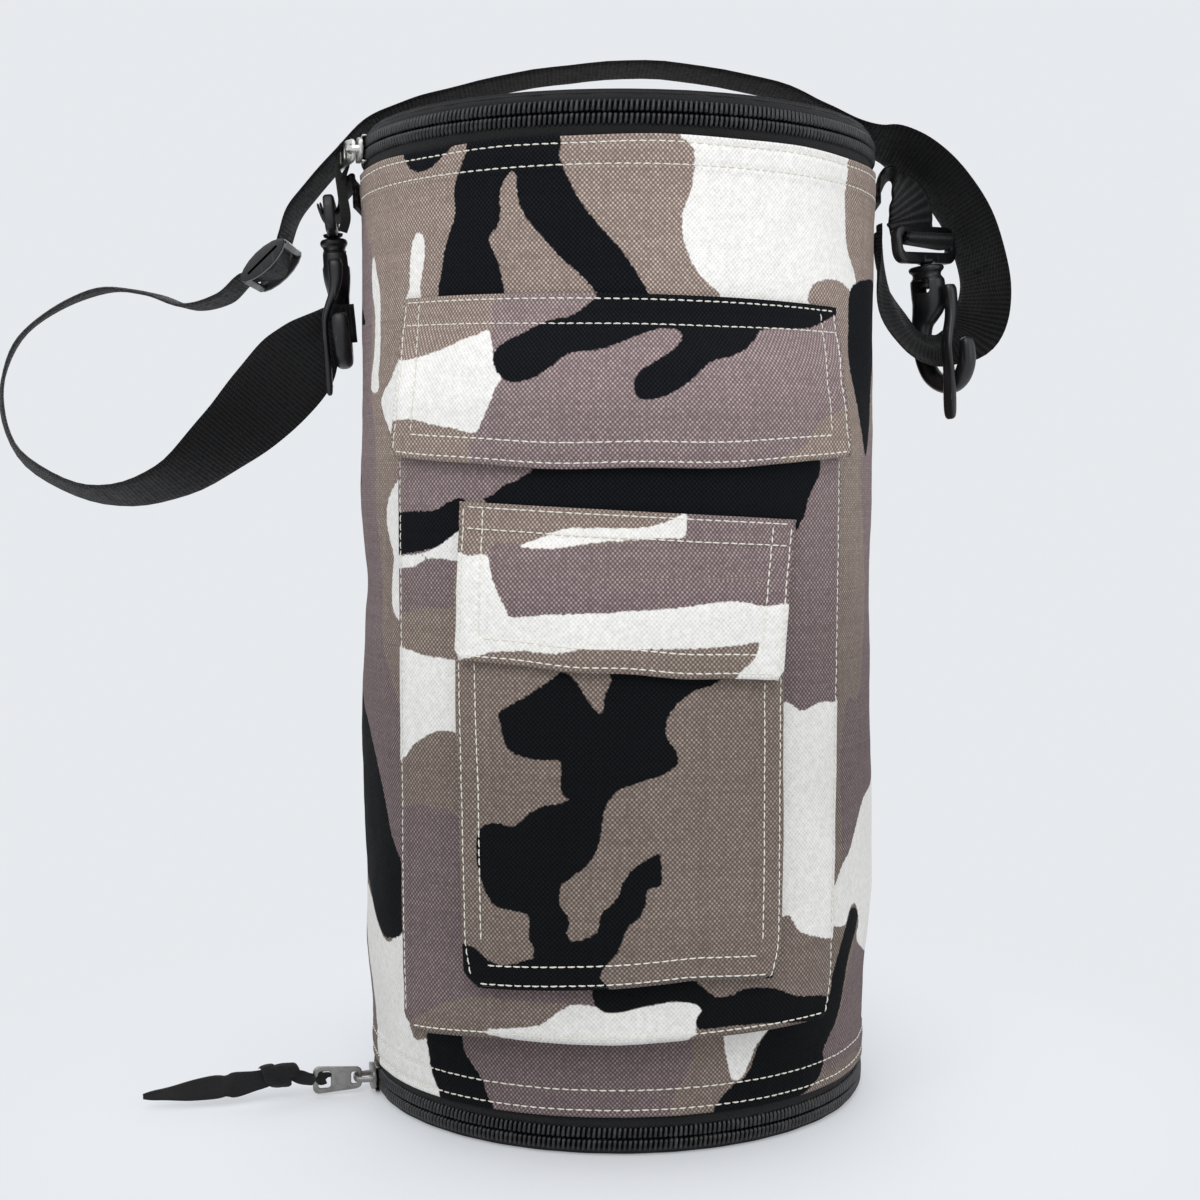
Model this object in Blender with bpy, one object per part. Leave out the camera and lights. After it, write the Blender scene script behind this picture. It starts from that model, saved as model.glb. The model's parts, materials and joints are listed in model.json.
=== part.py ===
"""Drum stick bag: a padded cylinder with a zipped round lid at each end, a large
cargo pocket and a patch pocket with flaps on the front, and a webbing shoulder
strap on two swivel snap hooks.

Metres, +Z up. Origin: centre of the bottom face, on the axis of the bag.
-Y is the front (pocket side), +X is the viewer's right.
"""
import math
import bpy
import bmesh
from mathutils import Matrix, Vector

MM = 0.001

# ---------------------------------------------------------------- dimensions (mm)
HEIGHT = 430.0            # overall height of the closed bag, zips included
R_SHELL = 116.0           # outside radius of the canvas
CANVAS = 1.0              # canvas thickness
GAP = 0.3                 # clearance between separate pieces
FOAM = 6.0                # foam thickness in the wall
SHELL_Z0, SHELL_Z1 = 16.0, 412.5
ZIP_HALF = 150.0          # zip runs this far each way from the front, degrees
COIL = 4.2                # height of one coil half (number 10 coil zip)
COIL_GAP = 1.6            # line between the two coil halves
R_COIL0, R_COIL1 = 112.2, 116.4
R_TAPE0, R_TAPE1 = 113.5, 114.7
TOP_COIL_Z = 416.8        # lower edge of the top zip's body-side coil
BOT_COIL_Z = 2.0          # lower edge of the bottom zip's lid-side coil
LID_HINGE_Y = 116.5       # back edge about which both lids fold
SLIDER_AZ = -75.0         # where both sliders are parked

LP_R0, LP_R1 = 116.4, 131.0       # large pocket, gusset depth
LP_HALF = 46.5                    # half angle of its front
LP_Z0, LP_Z1 = 50.0, 303.0
SP_R0, SP_R1 = 131.4, 140.2       # small pocket, on the large one
SP_HALF = 28.0
SP_Z0, SP_Z1 = 72.0, 238.0
LF_TOP, LF_BOT = 350.0, 282.0     # large flap
SF_TOP, SF_BOT = 265.0, 202.0     # small flap
LF_AXIS_Y, SF_AXIS_Y = -118.2, -133.4

WEB = 38.0                # shoulder webbing width
WEB_T = 1.8               # shoulder webbing thickness


# ---------------------------------------------------------------- materials
def material(name, rgb, rough, metal=0.0):
    m = bpy.data.materials.new(name)
    m.use_nodes = True
    b = m.node_tree.nodes["Principled BSDF"]
    b.inputs["Base Color"].default_value = (*rgb, 1.0)
    b.inputs["Roughness"].default_value = rough
    b.inputs["Metallic"].default_value = metal
    m.diffuse_color = (*rgb, 1.0)
    return m


CANVAS_RGB = (0.42, 0.41, 0.41)
BLACK_WEB = (0.018, 0.018, 0.020)
BLACK_PLASTIC = (0.014, 0.014, 0.016)


# ---------------------------------------------------------------- mesh helpers
def polar(r, az, z):
    """Point at azimuth az (degrees from the front, + to the right)."""
    a = math.radians(az)
    return Vector((r * math.sin(a), -r * math.cos(a), z))


def finish(name, bm, rgb, rough, metal=0.0, origin=(0, 0, 0), parent=None, frame=None):
    """Turn a bmesh in mm into a named object whose origin is at `origin`."""
    o = Vector(origin)
    if frame is not None:
        bmesh.ops.transform(bm, matrix=frame, verts=bm.verts)
    bmesh.ops.translate(bm, vec=-o, verts=bm.verts)
    bmesh.ops.scale(bm, vec=(MM, MM, MM), verts=bm.verts)
    bmesh.ops.recalc_face_normals(bm, faces=bm.faces)
    me = bpy.data.meshes.new(name)
    bm.to_mesh(me)
    bm.free()
    ob = bpy.data.objects.new(name, me)
    ob.location = o * MM
    bpy.context.scene.collection.objects.link(ob)
    me.materials.append(material(name + "_mat", rgb, rough, metal))
    if parent is not None:
        ob.parent = parent
        ob.matrix_parent_inverse = Matrix.Translation(-parent.location)
    return ob


def loop_sweep(bm, rings, closed):
    """Skin a list of equal vertex rings; cap the ends unless closed."""
    vs = [[bm.verts.new(p) for p in ring] for ring in rings]
    n = len(vs[0])
    count = len(vs) if closed else len(vs) - 1
    for i in range(count):
        a, b = vs[i], vs[(i + 1) % len(vs)]
        for k in range(n):
            bm.faces.new((a[k], a[(k + 1) % n], b[(k + 1) % n], b[k]))
    if not closed:
        bm.faces.new(vs[0][::-1])
        bm.faces.new(vs[-1])


def arc_solid(outline, az0, az1, seg):
    """Sweep a closed (r, z) outline round the Z axis."""
    bm = bmesh.new()
    full = abs((az1 - az0) - 360.0) < 1e-6
    steps = seg if full else seg + 1
    rings = []
    for i in range(steps):
        az = az0 + (az1 - az0) * i / seg
        rings.append([polar(r, az, z) for r, z in outline])
    loop_sweep(bm, rings, full)
    return bm


def rect(r0, r1, z0, z1):
    return [(r0, z0), (r1, z0), (r1, z1), (r0, z1)]


def ring(name, r0, r1, z0, z1, rgb, rough, half=180.0, seg=64, **kw):
    return finish(name, arc_solid(rect(r0, r1, z0, z1), -half, half, seg), rgb, rough, **kw)


def disc(name, r, z0, z1, rgb, rough, seg=64, **kw):
    bm = bmesh.new()
    bmesh.ops.create_cone(bm, cap_ends=True, segments=seg, radius1=r, radius2=r,
                          depth=z1 - z0, matrix=Matrix.Translation((0, 0, (z0 + z1) / 2)))
    return finish(name, bm, rgb, rough, **kw)


def sheet_outline(profile, t):
    """Outline of a sheet whose inner face follows profile [(r, z) ...]."""
    n = len(profile)
    outer = []
    for i, (r, z) in enumerate(profile):
        a = profile[max(i - 1, 0)]
        b = profile[min(i + 1, n - 1)]
        d = Vector((b[0] - a[0], b[1] - a[1])).normalized()
        outer.append((r - d.y * t, z + d.x * t))
    return list(profile) + outer[::-1]


def spline(points, per):
    """Catmull-Rom through points (equal-length tuples)."""
    out = []
    n = len(points)
    for i in range(n - 1):
        p0 = points[max(i - 1, 0)]
        p1, p2 = points[i], points[i + 1]
        p3 = points[min(i + 2, n - 1)]
        for k in range(per):
            t = k / per
            out.append(tuple(
                0.5 * ((2 * b) + (-a + c) * t + (2 * a - 5 * b + 4 * c - d) * t * t
                       + (-a + 3 * b - 3 * c + d) * t ** 3)
                for a, b, c, d in zip(p0, p1, p2, p3)))
    out.append(tuple(points[-1]))
    return out


def ribbon(stations):
    """Flat band. Each station is (x, y, z, width, thickness, turn): the width lies
    along +Y turned about Z by `turn` degrees."""
    bm = bmesh.new()
    rings = []
    n = len(stations)
    for i, s in enumerate(stations):
        p = Vector(s[:3])
        a = Vector(stations[max(i - 1, 0)][:3])
        b = Vector(stations[min(i + 1, n - 1)][:3])
        d = (b - a).normalized()
        turn = math.radians(s[5])
        w = Vector((-math.sin(turn), math.cos(turn), 0.0))
        w = (w - d * w.dot(d)).normalized()
        nrm = d.cross(w).normalized()
        w, nrm = w * s[3] / 2, nrm * s[4] / 2
        rings.append([p - w - nrm, p + w - nrm, p + w + nrm, p - w + nrm])
    loop_sweep(bm, rings, False)
    return bm


def rod(stations, sides=8):
    """Round bar. Each station is (x, y, z, half width in local X, half depth in Y);
    the path lies near the local XZ plane."""
    bm = bmesh.new()
    rings = []
    n = len(stations)
    for i, s in enumerate(stations):
        p = Vector(s[:3])
        a = Vector(stations[max(i - 1, 0)][:3])
        b = Vector(stations[min(i + 1, n - 1)][:3])
        d = (b - a).normalized()
        v = Vector((0, 1, 0))
        v = (v - d * v.dot(d)).normalized()
        u = d.cross(v).normalized()
        rings.append([p + u * s[3] * math.cos(2 * math.pi * (k + 0.5) / sides)
                      + v * s[4] * math.sin(2 * math.pi * (k + 0.5) / sides)
                      for k in range(sides)])
    loop_sweep(bm, rings, False)
    return bm


def rounded_rect(w, h, r, n=3):
    pts = []
    for cx, cy, a0 in ((w / 2 - r, h / 2 - r, 0), (-w / 2 + r, h / 2 - r, 90),
                       (-w / 2 + r, -h / 2 + r, 180), (w / 2 - r, -h / 2 + r, 270)):
        for k in range(n + 1):
            a = math.radians(a0 + 90 * k / n)
            pts.append((cx + r * math.cos(a), cy + r * math.sin(a)))
    return pts


def framed_plate(outer, holes, t):
    """Plate in the local XZ plane, thickness t along Y, with rectangular holes."""
    bm = bmesh.new()
    loops = []
    for pts in [outer] + holes:
        vs = [bm.verts.new((x, -t / 2, z)) for x, z in pts]
        loops += [bm.edges.new((vs[i], vs[(i + 1) % len(vs)])) for i in range(len(vs))]
    bmesh.ops.triangle_fill(bm, edges=loops, use_beauty=True)
    faces = list(bm.faces)
    res = bmesh.ops.extrude_face_region(bm, geom=faces)
    verts = [g for g in res["geom"] if isinstance(g, bmesh.types.BMVert)]
    bmesh.ops.translate(bm, vec=(0, t, 0), verts=verts)
    return bm


def boxed(cx, cz, w, h):
    return [(cx - w / 2, cz - h / 2), (cx + w / 2, cz - h / 2),
            (cx + w / 2, cz + h / 2), (cx - w / 2, cz + h / 2)]


def pivot(name, at):
    e = bpy.data.objects.new(name, None)
    e.location = Vector(at) * MM
    e.empty_display_size = 0.01
    bpy.context.scene.collection.objects.link(e)
    return e


def cut(ob, bm, name, frame):
    """Subtract a hidden cutter (mesh in mm) from ob."""
    c = finish(name, bm, (0.5, 0.5, 0.5), 0.5, frame=frame)
    c.hide_render = True
    c.display_type = "WIRE"
    m = ob.modifiers.new(name, "BOOLEAN")
    m.operation = "DIFFERENCE"
    m.solver = "EXACT"
    m.object = c


# ---------------------------------------------------------------- clear the scene
for o in list(bpy.data.objects):
    bpy.data.objects.remove(o, do_unlink=True)

# ---------------------------------------------------------------- wall of the bag
ring("body_shell", R_SHELL - CANVAS, R_SHELL, SHELL_Z0, SHELL_Z1, CANVAS_RGB, 0.95)
r_foam = R_SHELL - CANVAS - GAP
ring("foam_wall", r_foam - FOAM, r_foam, SHELL_Z0 + 4.5, SHELL_Z1 - 4.5,
     (0.06, 0.06, 0.065), 0.95)
r_lin = r_foam - FOAM - GAP
ring("lining", r_lin - 0.6, r_lin, SHELL_Z0 + 4.5, SHELL_Z1 - 4.5, (0.03, 0.03, 0.032), 0.8)

# ---------------------------------------------------------------- zips and lids
top_pivot = pivot("top_lid_pivot", (0, LID_HINGE_Y, HEIGHT - 1.0))
bot_pivot = pivot("bottom_lid_pivot", (0, LID_HINGE_Y, 1.0))

TC0, TC1 = TOP_COIL_Z, TOP_COIL_Z + COIL                  # body-side coil
TL0, TL1 = TC1 + COIL_GAP, TC1 + COIL_GAP + COIL          # lid-side coil
BL0, BL1 = BOT_COIL_Z, BOT_COIL_Z + COIL                  # lid-side coil
BC0, BC1 = BL1 + COIL_GAP, BL1 + COIL_GAP + COIL          # body-side coil

TAPE_RGB = (0.016, 0.016, 0.018)
COIL_RGB = (0.022, 0.022, 0.025)

ring("top_tape_body", R_TAPE0, R_TAPE1, SHELL_Z1 - 4.2, TC0 - GAP, TAPE_RGB, 0.9, half=ZIP_HALF, seg=44)
ring("top_coil_body", R_COIL0, R_COIL1, TC0, TC1, COIL_RGB, 0.45, half=ZIP_HALF, seg=44)
ring("top_coil_lid", R_COIL0, R_COIL1, TL0, TL1, COIL_RGB, 0.45, half=ZIP_HALF, seg=44, parent=top_pivot)
ring("top_tape_lid", R_TAPE0, R_TAPE1, TL1 + GAP, HEIGHT - 0.4, TAPE_RGB, 0.9, half=ZIP_HALF, seg=44, parent=top_pivot)
disc("top_lid_panel", 113.2, HEIGHT - 1.6, HEIGHT, CANVAS_RGB, 0.95, parent=top_pivot)
disc("top_lid_foam", 108.0, HEIGHT - 6.9, HEIGHT - 1.9, (0.06, 0.06, 0.065), 0.95, seg=48, parent=top_pivot)
disc("top_lid_lining", 107.6, HEIGHT - 7.8, HEIGHT - 7.2, (0.03, 0.03, 0.032), 0.8, seg=48, parent=top_pivot)
ring("top_lid_hinge", R_TAPE0, R_TAPE1, SHELL_Z1 - 4.2, HEIGHT - 2.2, BLACK_WEB, 0.9, half=24.0, seg=12,
     frame=Matrix.Rotation(math.pi, 4, "Z"))

ring("bottom_tape_body", R_TAPE0, R_TAPE1, BC1 + GAP, SHELL_Z0 + 4.2, TAPE_RGB, 0.9, half=ZIP_HALF, seg=44)
ring("bottom_coil_body", R_COIL0, R_COIL1, BC0, BC1, COIL_RGB, 0.45, half=ZIP_HALF, seg=44)
ring("bottom_coil_lid", R_COIL0, R_COIL1, BL0, BL1, COIL_RGB, 0.45, half=ZIP_HALF, seg=44, parent=bot_pivot)
ring("bottom_tape_lid", R_TAPE0, R_TAPE1, 0.4, BL0 - GAP, TAPE_RGB, 0.9, half=ZIP_HALF, seg=44, parent=bot_pivot)
disc("bottom_lid_panel", 113.2, 0.0, 1.6, CANVAS_RGB, 0.95, parent=bot_pivot)
disc("bottom_lid_foam", 108.0, 1.9, 6.9, (0.06, 0.06, 0.065), 0.95, seg=48, parent=bot_pivot)
disc("bottom_lid_lining", 107.6, 7.2, 7.8, (0.03, 0.03, 0.032), 0.8, seg=48, parent=bot_pivot)
ring("bottom_lid_hinge", R_TAPE0, R_TAPE1, 2.2, SHELL_Z0 + 4.2, BLACK_WEB, 0.9, half=24.0, seg=12,
     frame=Matrix.Rotation(math.pi, 4, "Z"))

# Sliders straddle both coils: outer plate, thin web in the coil line, inner plate.
NICKEL = (0.66, 0.65, 0.62)
DARK_NICKEL = (0.23, 0.22, 0.21)


def slider(name, z_line, rgb, rough):
    """z_line is the middle of the line between the two coil halves."""
    h = COIL + COIL_GAP / 2 + 0.2
    web = 0.4
    o = [(110.0, z_line - h), (111.6, z_line - h), (111.6, z_line - web), (117.0, z_line - web),
         (117.0, z_line - h), (118.6, z_line - h), (118.6, z_line + h), (117.0, z_line + h),
         (117.0, z_line + web), (111.6, z_line + web), (111.6, z_line + h), (110.0, z_line + h)]
    half = math.degrees(7.0 / 114.0)
    return finish(name, arc_solid(o, SLIDER_AZ - half, SLIDER_AZ + half, 4), rgb, rough, 1.0)


top_line, bot_line = (TC1 + TL0) / 2, (BL1 + BC0) / 2
top_slider = slider("top_slider", top_line, NICKEL, 0.28)
bottom_slider = slider("bottom_slider", bot_line, DARK_NICKEL, 0.35)


def pull_frame(z_line, swing):
    """Frame at the slider's bail: local +X points away from the bag, then turned
    about the vertical bail by `swing` degrees; local Z up."""
    at = polar(120.2, SLIDER_AZ, z_line)
    return Matrix.Translation(at) @ Matrix.Rotation(math.radians(SLIDER_AZ - 90.0 + swing), 4, "Z"), at


def pull(name, z_line, swing, rgb, rough, ob_slider):
    f, at = pull_frame(z_line, swing)
    bm = framed_plate([(x + 10.6, z) for x, z in rounded_rect(22.0, 12.4, 2.6)],
                      [boxed(16.6, 0, 5.6, 7.6), boxed(2.9, 0, 3.0, 5.6)], 1.6)
    return finish(name, bm, rgb, rough, 1.0, origin=at, frame=f)


TOP_SWING, BOT_SWING = -80.0, 0.0
top_pull = pull("top_pull", top_line, TOP_SWING, NICKEL, 0.28, top_slider)
bottom_pull = pull("bottom_pull", bot_line, BOT_SWING, DARK_NICKEL, 0.35, bottom_slider)

# Ribbon tails, local to the pull: loop through the hole, knot, flat tail.
f, at = pull_frame(top_line, TOP_SWING)
finish("top_pull_ribbon", ribbon(spline([
    (16.6, 1.9, 1.6, 5.0, 1.0, 90), (15.6, 2.8, -4.0, 5.0, 1.4, 70), (11.0, 3.2, -11.0, 5.0, 2.6, 30),
    (7.4, 2.8, -20.0, 5.0, 1.0, 10), (4.4, 2.6, -30.0, 5.0, 0.9, 10), (5.4, 4.0, -36.0, 4.0, 0.9, 10)], 3)),
    BLACK_WEB, 0.85, origin=at, frame=f)
f, at = pull_frame(bot_line, BOT_SWING)
finish("bottom_pull_ribbon", ribbon(spline([
    (22.2, 0.0, 0.4, 6.5, 1.4, 75), (26.0, 0.0, 1.6, 8.0, 5.0, 75), (32.0, 0.4, 4.0, 14.0, 8.0, 80),
    (40.0, 0.6, 4.0, 14.0, 8.0, 80), (46.0, 0.4, 2.4, 10.0, 3.0, 80), (60.0, 0.0, 0.8, 12.0, 1.0, 85),
    (78.0, 0.0, -0.6, 9.0, 1.0, 85), (96.0, -0.4, -1.5, 3.0, 0.9, 85)], 3)),
    BLACK_WEB, 0.85, origin=at, frame=f)

# ---------------------------------------------------------------- pockets
def pocket(name, r0, r1, half, z0, z1, wall, seg):
    """Front wall, side gussets and bottom; open at the top and against the bag.
    The plan is a channel, swept up, with a floor."""
    bm = bmesh.new()
    side = math.degrees(wall / r0)
    lip = 5.0 / r1 * 57.3
    outer, inner = [], []
    outer.append((r0, half + 1.6))
    inner.append((r0, half + 1.6 - side))
    for k in range(seg + 1):
        az = (half) - 2 * half * k / seg
        outer.append((r1, az))
        inner.append((r1 - wall, max(min(az, half - side), -half + side)))
    outer.append((r0, -half - 1.6))
    inner.append((r0, -half - 1.6 + side))
    po = [polar(r, a, 0) for r, a in outer]
    pi = [polar(r, a, 0) for r, a in inner]
    n = len(po)
    up = Vector((0, 0, 1))
    o0 = [bm.verts.new(p + up * z0) for p in po]
    o1 = [bm.verts.new(p + up * z1) for p in po]
    i0 = [bm.verts.new(p + up * (z0 + wall)) for p in pi]
    i1 = [bm.verts.new(p + up * z1) for p in pi]
    # back edge of the floor, following the bag
    ba = [bm.verts.new(polar(r0, half + 1.6 - (2 * half + 3.2) * k / seg, z0)) for k in range(1, seg)]
    bb = [bm.verts.new(polar(r0, half + 1.6 - side - (2 * half + 3.2 - 2 * side) * k / seg, z0 + wall)) for k in range(1, seg)]
    for k in range(n - 1):
        bm.faces.new((o0[k], o0[k + 1], o1[k + 1], o1[k]))
        bm.faces.new((i1[k], i1[k + 1], i0[k + 1], i0[k]))
        bm.faces.new((o1[k], o1[k + 1], i1[k + 1], i1[k]))
    back0 = [o0[0]] + ba + [o0[-1]]
    back1 = [i0[0]] + bb + [i0[-1]]
    # end faces of the gussets and back edge of the floor
    bm.faces.new((o0[0], o1[0], i1[0], i0[0]))
    bm.faces.new((o0[-1], i0[-1], i1[-1], o1[-1]))
    for k in range(len(back0) - 1):
        bm.faces.new((back0[k], back1[k], back1[k + 1], back0[k + 1]))
    # floor, underneath and inside
    for back, front in ((back0, o0[1:-1]), (back1, i0[1:-1])):
        m = len(back)
        for k in range(m - 1):
            bm.faces.new((back[k], back[k + 1], front[k + 1], front[k]))
    bmesh.ops.remove_doubles(bm, verts=bm.verts, dist=0.01)
    return finish(name, bm, CANVAS_RGB, 0.95)


pocket("large_pocket", LP_R0, LP_R1, LP_HALF, LP_Z0, LP_Z1, 1.4, 24)
pocket("small_pocket", SP_R0, SP_R1, SP_HALF, SP_Z0, SP_Z1, 1.2, 16)

TAPE_H = (0.03, 0.03, 0.032)
ring("large_pocket_loop_tape", LP_R1 + GAP, LP_R1 + 1.2, LP_Z1 - 18.5, LP_Z1 - 2.5, TAPE_H, 0.98, half=26.0, seg=14)
ring("small_pocket_loop_tape", SP_R1 + GAP, SP_R1 + 1.2, SP_Z1 - 22.0, SP_Z1 - 4.0, TAPE_H, 0.98, half=14.0, seg=10)

# ---------------------------------------------------------------- flaps
lf_pivot = pivot("large_flap_pivot", (0, LF_AXIS_Y, LF_TOP - 1.0))
sf_pivot = pivot("small_flap_pivot", (0, SF_AXIS_Y, SF_TOP - 1.0))


def flap(name, profile, half_top, half_bot, seg, t, parent):
    o = sheet_outline(profile, t)
    z_top, z_bot = profile[0][1], profile[-1][1]
    bm = bmesh.new()
    rings = []
    for i in range(seg + 1):
        u = 2.0 * i / seg - 1.0
        pts = []
        for r, z in o:
            k = (z_top - z) / (z_top - z_bot)
            dip = 5.0 * max(k, 0.0) * (1.0 - u * u) if k > 0.5 else 0.0
            pts.append(polar(r, u * (half_top + (half_bot - half_top) * k), z - dip + 2.0 * max(k - 0.5, 0)))
        rings.append(pts)
    loop_sweep(bm, rings, False)
    return finish(name, bm, CANVAS_RGB, 0.95, parent=parent)


flap("large_flap", [(116.6, LF_TOP), (118.4, LF_TOP - 10.0), (128.6, LF_TOP - 30.0),
                    (133.4, LF_TOP - 43.0), (133.9, LF_TOP - 55.0), (133.9, LF_BOT)],
     50.0, 46.0, 24, 1.4, lf_pivot)
flap("small_flap", [(131.8, SF_TOP), (133.4, SF_TOP - 9.0), (139.6, SF_TOP - 24.0),
                    (143.0, SF_TOP - 34.0), (143.4, SF_TOP - 44.0), (143.4, SF_BOT)],
     30.5, 28.0, 16, 1.3, sf_pivot)
ring("large_flap_hook_tape", LP_R1 + 1.5, LP_R1 + 2.5, LP_Z1 - 18.5, LP_Z1 - 3.5, TAPE_H, 0.98, half=26.0, seg=14, parent=lf_pivot)
ring("small_flap_hook_tape", SP_R1 + 1.5, SP_R1 + 2.5, SP_Z1 - 22.0, SP_Z1 - 10.0, TAPE_H, 0.98, half=14.0, seg=10, parent=sf_pivot)

# ---------------------------------------------------------------- snap hooks
# Local hook frame: origin at the middle of the webbing slot, -Z down the hook,
# X across it (mouth on +X), Y through its thickness.
R_HOOK = Matrix.Translation((140.0, 2.0, 384.0)) @ Matrix.Rotation(math.radians(-6.0), 4, "Y") @ Matrix.Rotation(math.radians(-46.0), 4, "Z")
L_HOOK = Matrix.Translation((-130.5, -2.0, 395.5)) @ Matrix.Rotation(math.radians(-5.0), 4, "Y") @ Matrix.Rotation(math.radians(-84.0), 4, "Z")


def hook(side, frame, eye_frame):
    at = frame.translation
    eye_bm = framed_plate(rounded_rect(48.0, 17.0, 6.0), [boxed(0, 0.6, 40.0, 7.6)], 5.0)
    # swivel stem with a head, drawn down from the underside of the eye
    eye = finish(side + "_hook_eye", eye_bm, BLACK_PLASTIC, 0.35, origin=at, frame=eye_frame)
    stem_bm = bmesh.new()
    outline = [(0.0, -7.0), (2.4, -7.0), (2.4, -17.5), (4.0, -17.5), (4.0, -19.8), (0.0, -19.8)]
    rings = [[Vector((r * math.cos(2 * math.pi * k / 16), r * math.sin(2 * math.pi * k / 16), z))
              for k in range(16)] for r, z in outline[1:-1]]
    loop_sweep(stem_bm, rings, False)
    stem = finish(side + "_hook_stem_tool", stem_bm, (0.5, 0.5, 0.5), 0.5, frame=frame)
    stem.hide_render = True
    stem.display_type = "WIRE"
    m = eye.modifiers.new("stem", "BOOLEAN")
    m.operation = "UNION"
    m.solver = "EXACT"
    m.object = stem
    body = finish(side + "_hook_body", rod([
        (0, 0, -9.2, 7.6, 5.6), (0, 0, -10.6, 8.4, 6.2), (0, 0, -25.0, 8.0, 6.2), (-2.4, 0, -30.5, 6.6, 5.6),
        (-5.2, 0, -36.0, 4.4, 4.2), (-6.2, 0, -44.0, 4.0, 4.0), (-5.4, 0, -52.0, 4.0, 4.0),
        (-2.6, 0, -59.0, 4.0, 4.0), (2.6, 0, -63.6, 4.0, 4.0), (8.6, 0, -64.6, 4.0, 4.0),
        (14.0, 0, -61.6, 4.0, 4.0), (17.6, 0, -56.0, 3.8, 4.0), (18.6, 0, -50.0, 3.4, 3.8),
        (18.4, 0, -45.0, 2.6, 3.2)], 12), BLACK_PLASTIC, 0.35, origin=at, frame=frame)
    bore = bmesh.new()
    bmesh.ops.create_cone(bore, cap_ends=True, segments=16, radius1=2.8, radius2=2.8, depth=12.0,
                          matrix=Matrix.Translation((0, 0, -11.0)))
    cut(body, bore, side + "_hook_bore_tool", frame)
    window = bmesh.new()
    bmesh.ops.create_cube(window, size=1.0, matrix=Matrix.Translation((0, 0, -18.6)) @ Matrix.Diagonal((9.4, 20.0, 7.0, 1.0)))
    cut(body, window, side + "_hook_window_tool", frame)
    gate_at = frame @ Vector((11.6, 0, -23.0))
    finish(side + "_hook_gate", rod([
        (11.6, 0, -19.6, 2.4, 3.0), (11.8, 0, -23.0, 2.8, 3.2), (12.2, -0.6, -31.0, 2.6, 2.6),
        (12.4, -3.6, -38.0, 2.6, 1.8), (12.6, -6.9, -46.0, 2.8, 1.5), (12.6, -7.3, -58.0, 2.8, 1.5),
        (12.0, -7.5, -70.0, 3.0, 1.5), (11.4, -7.7, -80.0, 2.6, 1.3)], 8), BLACK_PLASTIC, 0.3,
        origin=gate_at, frame=frame)


# The right eye faces the viewer with its far end to the right, across its hook.
R_EYE = R_HOOK @ Matrix.Rotation(math.radians(94.0), 4, "Z")
hook("right", R_HOOK, R_EYE)
hook("left", L_HOOK, L_HOOK)

# Webbing tabs: a strip from the top seam, down to the hook eye and round its bar.
def tab(name, seam, frame, turn, flip):
    wrap = [(-6.0, 10.4), (-5.3, 7.0), (-4.7, 3.6), (-3.0, 1.0), (0.0, 0.2), (3.2, 1.2), (4.6, 5.0)]
    st = [(x, y, z, WEB - 2, 2.4, t) for x, y, z, t in seam]
    st += [tuple(frame @ Vector((0, y * flip, z))) + (WEB - 2, 2.4, turn) for y, z in wrap]
    finish(name, ribbon(spline(st, 3)), BLACK_WEB, 0.88)


tab("right_tab", [(117.7, 1.0, 399.0, 0), (118.0, 1.0, 408.0, 0), (120.4, 1.0, 411.8, 0),
                  (126.4, 1.0, 411.0, -4), (131.6, 2.4, 406.4, -20), (133.8, 4.6, 400.4, -36)], R_EYE, -42, -1)
tab("left_tab", [(-117.7, 0.0, 399.0, 0), (-118.0, 0.0, 408.0, 0), (-119.8, 0.0, 412.0, 0),
                 (-122.8, -0.6, 410.4, 2)], L_HOOK, 6, -1)

# ---------------------------------------------------------------- tri-glide
TG_AT = (-158.0, -2.0, 374.5)
TG = Matrix.Translation(TG_AT) @ Matrix.Rotation(math.radians(46.0), 4, "Y") @ Matrix.Rotation(math.radians(-90.0), 4, "Z")
finish("tri_glide", framed_plate(rounded_rect(47.0, 27.0, 4.0), [boxed(0, 6.4, 40.0, 7.6), boxed(0, -6.4, 40.0, 7.6)], 3.0),
       BLACK_PLASTIC, 0.35, origin=TG_AT, frame=TG)

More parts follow.
